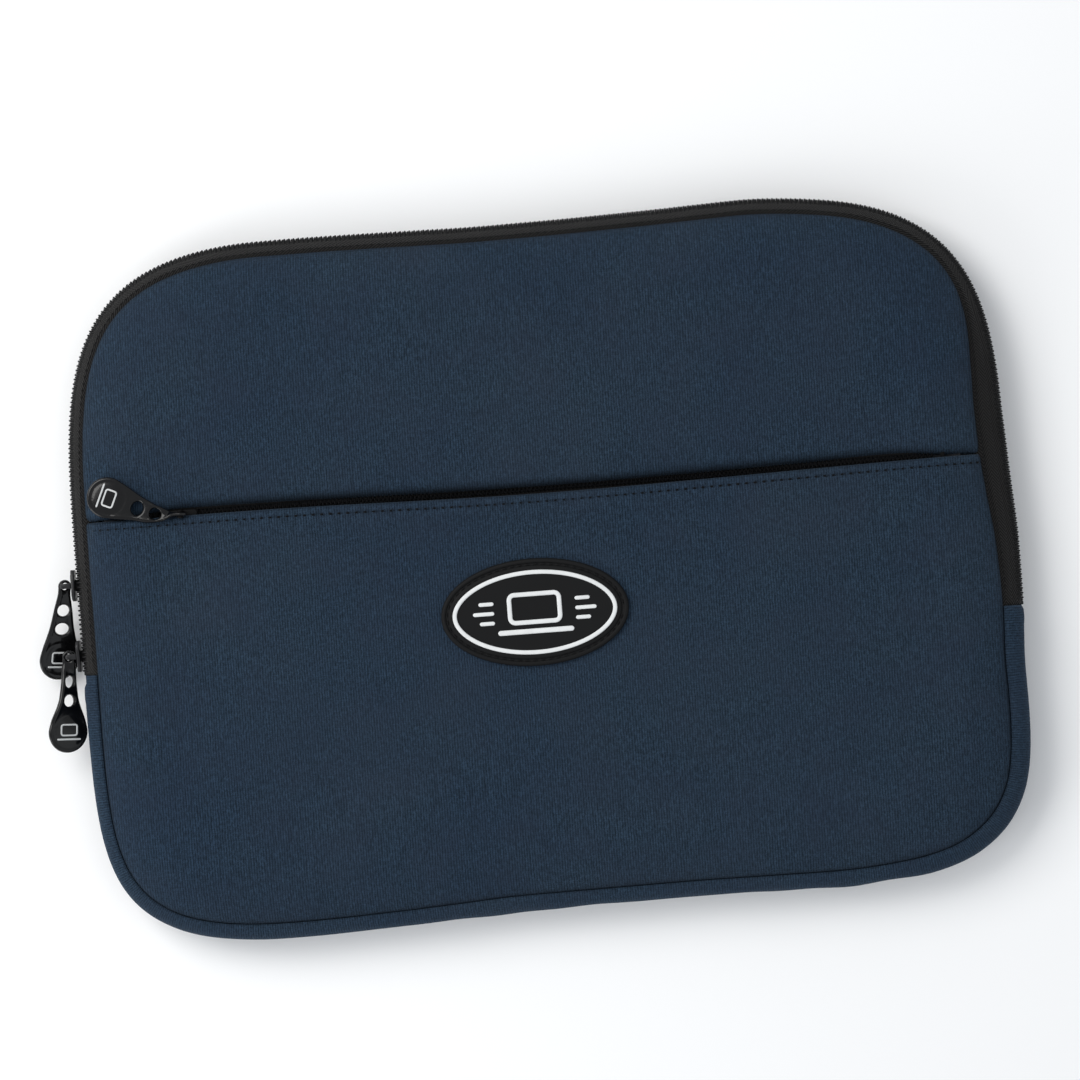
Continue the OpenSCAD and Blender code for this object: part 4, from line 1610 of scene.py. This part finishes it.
def place_pocket_pull(verts):
    """the ring stands upright round the crossbar, the neck runs along the mouth, and the
    spoon turns up to lie on the upper panel"""
    step = 0.25
    stations = np.arange(-4, 40, step)
    headings = np.radians(3 + 21 * ease(stations, 4, 15))
    path_x = np.cumsum(-np.cos(headings)) * step
    path_y = np.cumsum(np.sin(headings)) * step
    path_x -= np.interp(0, stations, path_x)
    path_y -= np.interp(0, stations, path_y)

    along = -verts[:, 1]
    width = verts[:, 0] * np.interp(along, [-3, 2.5, 7, 12], [0.62, 0.62, 0.85, 1.0])
    depth = verts[:, 2] * np.interp(along, [-3, 4, 10], [0.62, 0.62, 0.95])
    width, depth = turned(width, depth, (1 - ease(along, 1.5, 7.5)) * math.pi / 2)
    heading = np.interp(along, stations, headings)
    x = np.interp(along, stations, path_x) - width * np.sin(heading)
    y = np.interp(along, stations, path_y) - width * np.cos(heading)
    z = depth + 0.1 - 0.55 * ease(along, 6, 18) - 0.15 * ease(along, 22, 36)
    return np.column_stack([x, y, z]) + np.array(POCKET_PIVOT)


def main_end_stops():
    _, y, z = centre_mm("main_zip_end_stops")
    parts = Parts()
    for side in (-1, 1):
        parts.add_plate(rounded_rect(2.5, 1.5, 0.4, 3), 2.6, 0.25, 2,
                        (side * (HALF_W - 1.4), y, z))
    register(parts.make("main_zip_end_stop_pair", MATERIALS["slider"]),
             "shell", ["main_zip_end_stops"])


pocket_tape("pocket_zip_tape_upper", UPPER_TAPE_LOW[1] - 0.4, UPPER_TAPE_HIGH[1],
            UPPER_TAPE_HIGH[2])
pocket_tape("pocket_zip_tape_lower", LOWER_TAPE_LOW[1], LOWER_TAPE_HIGH[1] + 0.5,
            LOWER_TAPE_HIGH[2])
pocket_coil()
pocket_stops()
pocket_slider()
add_pull("pocket_pull", place_pocket_pull)
main_end_stops()

# ---- fabric sheets with their thickness applied ------------------------------------------------------------------------
for sheet in (pocket, front_lining, pocket_wall):
    apply_modifiers(sheet)
    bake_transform(sheet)
for sheet in (upper, back, back_lining):
    apply_modifiers(sheet)

register(bottom_strip, nodes=["bottom_gusset"])
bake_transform(bottom_strip)

# ---- studio, in metres ----------------------------------------------------------------------------------------------------
scene = bpy.context.scene


def studio_floor(half=4, z=-0.0004):
    material = bpy.data.materials.new("floor_pale")
    material.use_nodes = True
    surface = material.node_tree.nodes["Principled BSDF"]
    surface.inputs["Base Color"].default_value = (0.95, 0.95, 0.95, 1)
    surface.inputs["Roughness"].default_value = 0.8
    mesh = bpy.data.meshes.new("studio_floor")
    mesh.from_pydata([(-half, -half, z), (half, -half, z), (half, half, z), (-half, half, z)],
                     [], [(0, 1, 2, 3)])
    mesh.materials.append(material)
    floor = bpy.data.objects.new("studio_floor", mesh)
    scene.collection.objects.link(floor)


def studio_world():
    scene.view_settings.view_transform = "Standard"
    scene.view_settings.look = "None"
    world = bpy.data.worlds.new("studio")
    scene.world = world
    world.use_nodes = True
    background = world.node_tree.nodes["Background"]
    background.inputs["Color"].default_value = (0.93, 0.96, 1.0, 1)
    background.inputs["Strength"].default_value = 0.62


def area_light(name, location, target, size, power, color=(1, 1, 1)):
    light = bpy.data.lights.new(name, "AREA")
    light.energy = power
    light.size = size
    light.color = color
    lamp = bpy.data.objects.new(name, light)
    lamp.location = location
    direction = Vector(target) - Vector(location)
    lamp.rotation_euler = direction.to_track_quat("-Z", "Y").to_euler()
    scene.collection.objects.link(lamp)


def studio_camera(target, distance, frame_width, lean, roll, sensor=36):
    """looks down at target; frame_width is what it sees across there. Lean tips it
    towards +X and roll turns it, in degrees"""
    data = bpy.data.cameras.new("camera")
    camera = bpy.data.objects.new("camera", data)
    scene.collection.objects.link(camera)
    scene.camera = camera
    data.sensor_width = sensor
    data.lens = sensor * distance / frame_width
    data.clip_start = 0.05
    data.clip_end = 20
    lean, roll = math.radians(lean), math.radians(roll)
    backward = Vector((math.sin(lean), 0, math.cos(lean)))
    camera.location = Vector(target) + backward * distance
    z_axis = backward.normalized()
    x_axis = Vector((math.sin(roll), math.cos(roll), 0)).cross(z_axis).normalized()
    y_axis = z_axis.cross(x_axis)
    camera.rotation_mode = "QUATERNION"
    camera.rotation_quaternion = Matrix((x_axis, y_axis, z_axis)).transposed().to_quaternion()


studio_floor()
studio_world()
area_light("key_soft", location=(-0.72, 0.55, 1.0), target=(0, 0, 0.02), size=0.8, power=10.5,
           color=(1, 0.99, 0.97))
area_light("fill_soft", location=(0.9, -0.5, 1.1), target=(0, 0, 0.02), size=1.0, power=1.2,
           color=(0.9, 0.96, 1))
area_light("rim_soft", location=(-0.9, -0.55, 0.55), target=(-0.1, -0.05, 0.02), size=0.5,
           power=3.0)
studio_camera(target=(-0.0013, 0.0099, 0.020), distance=1.35, frame_width=0.4036,
              lean=2.0, roll=4.4)
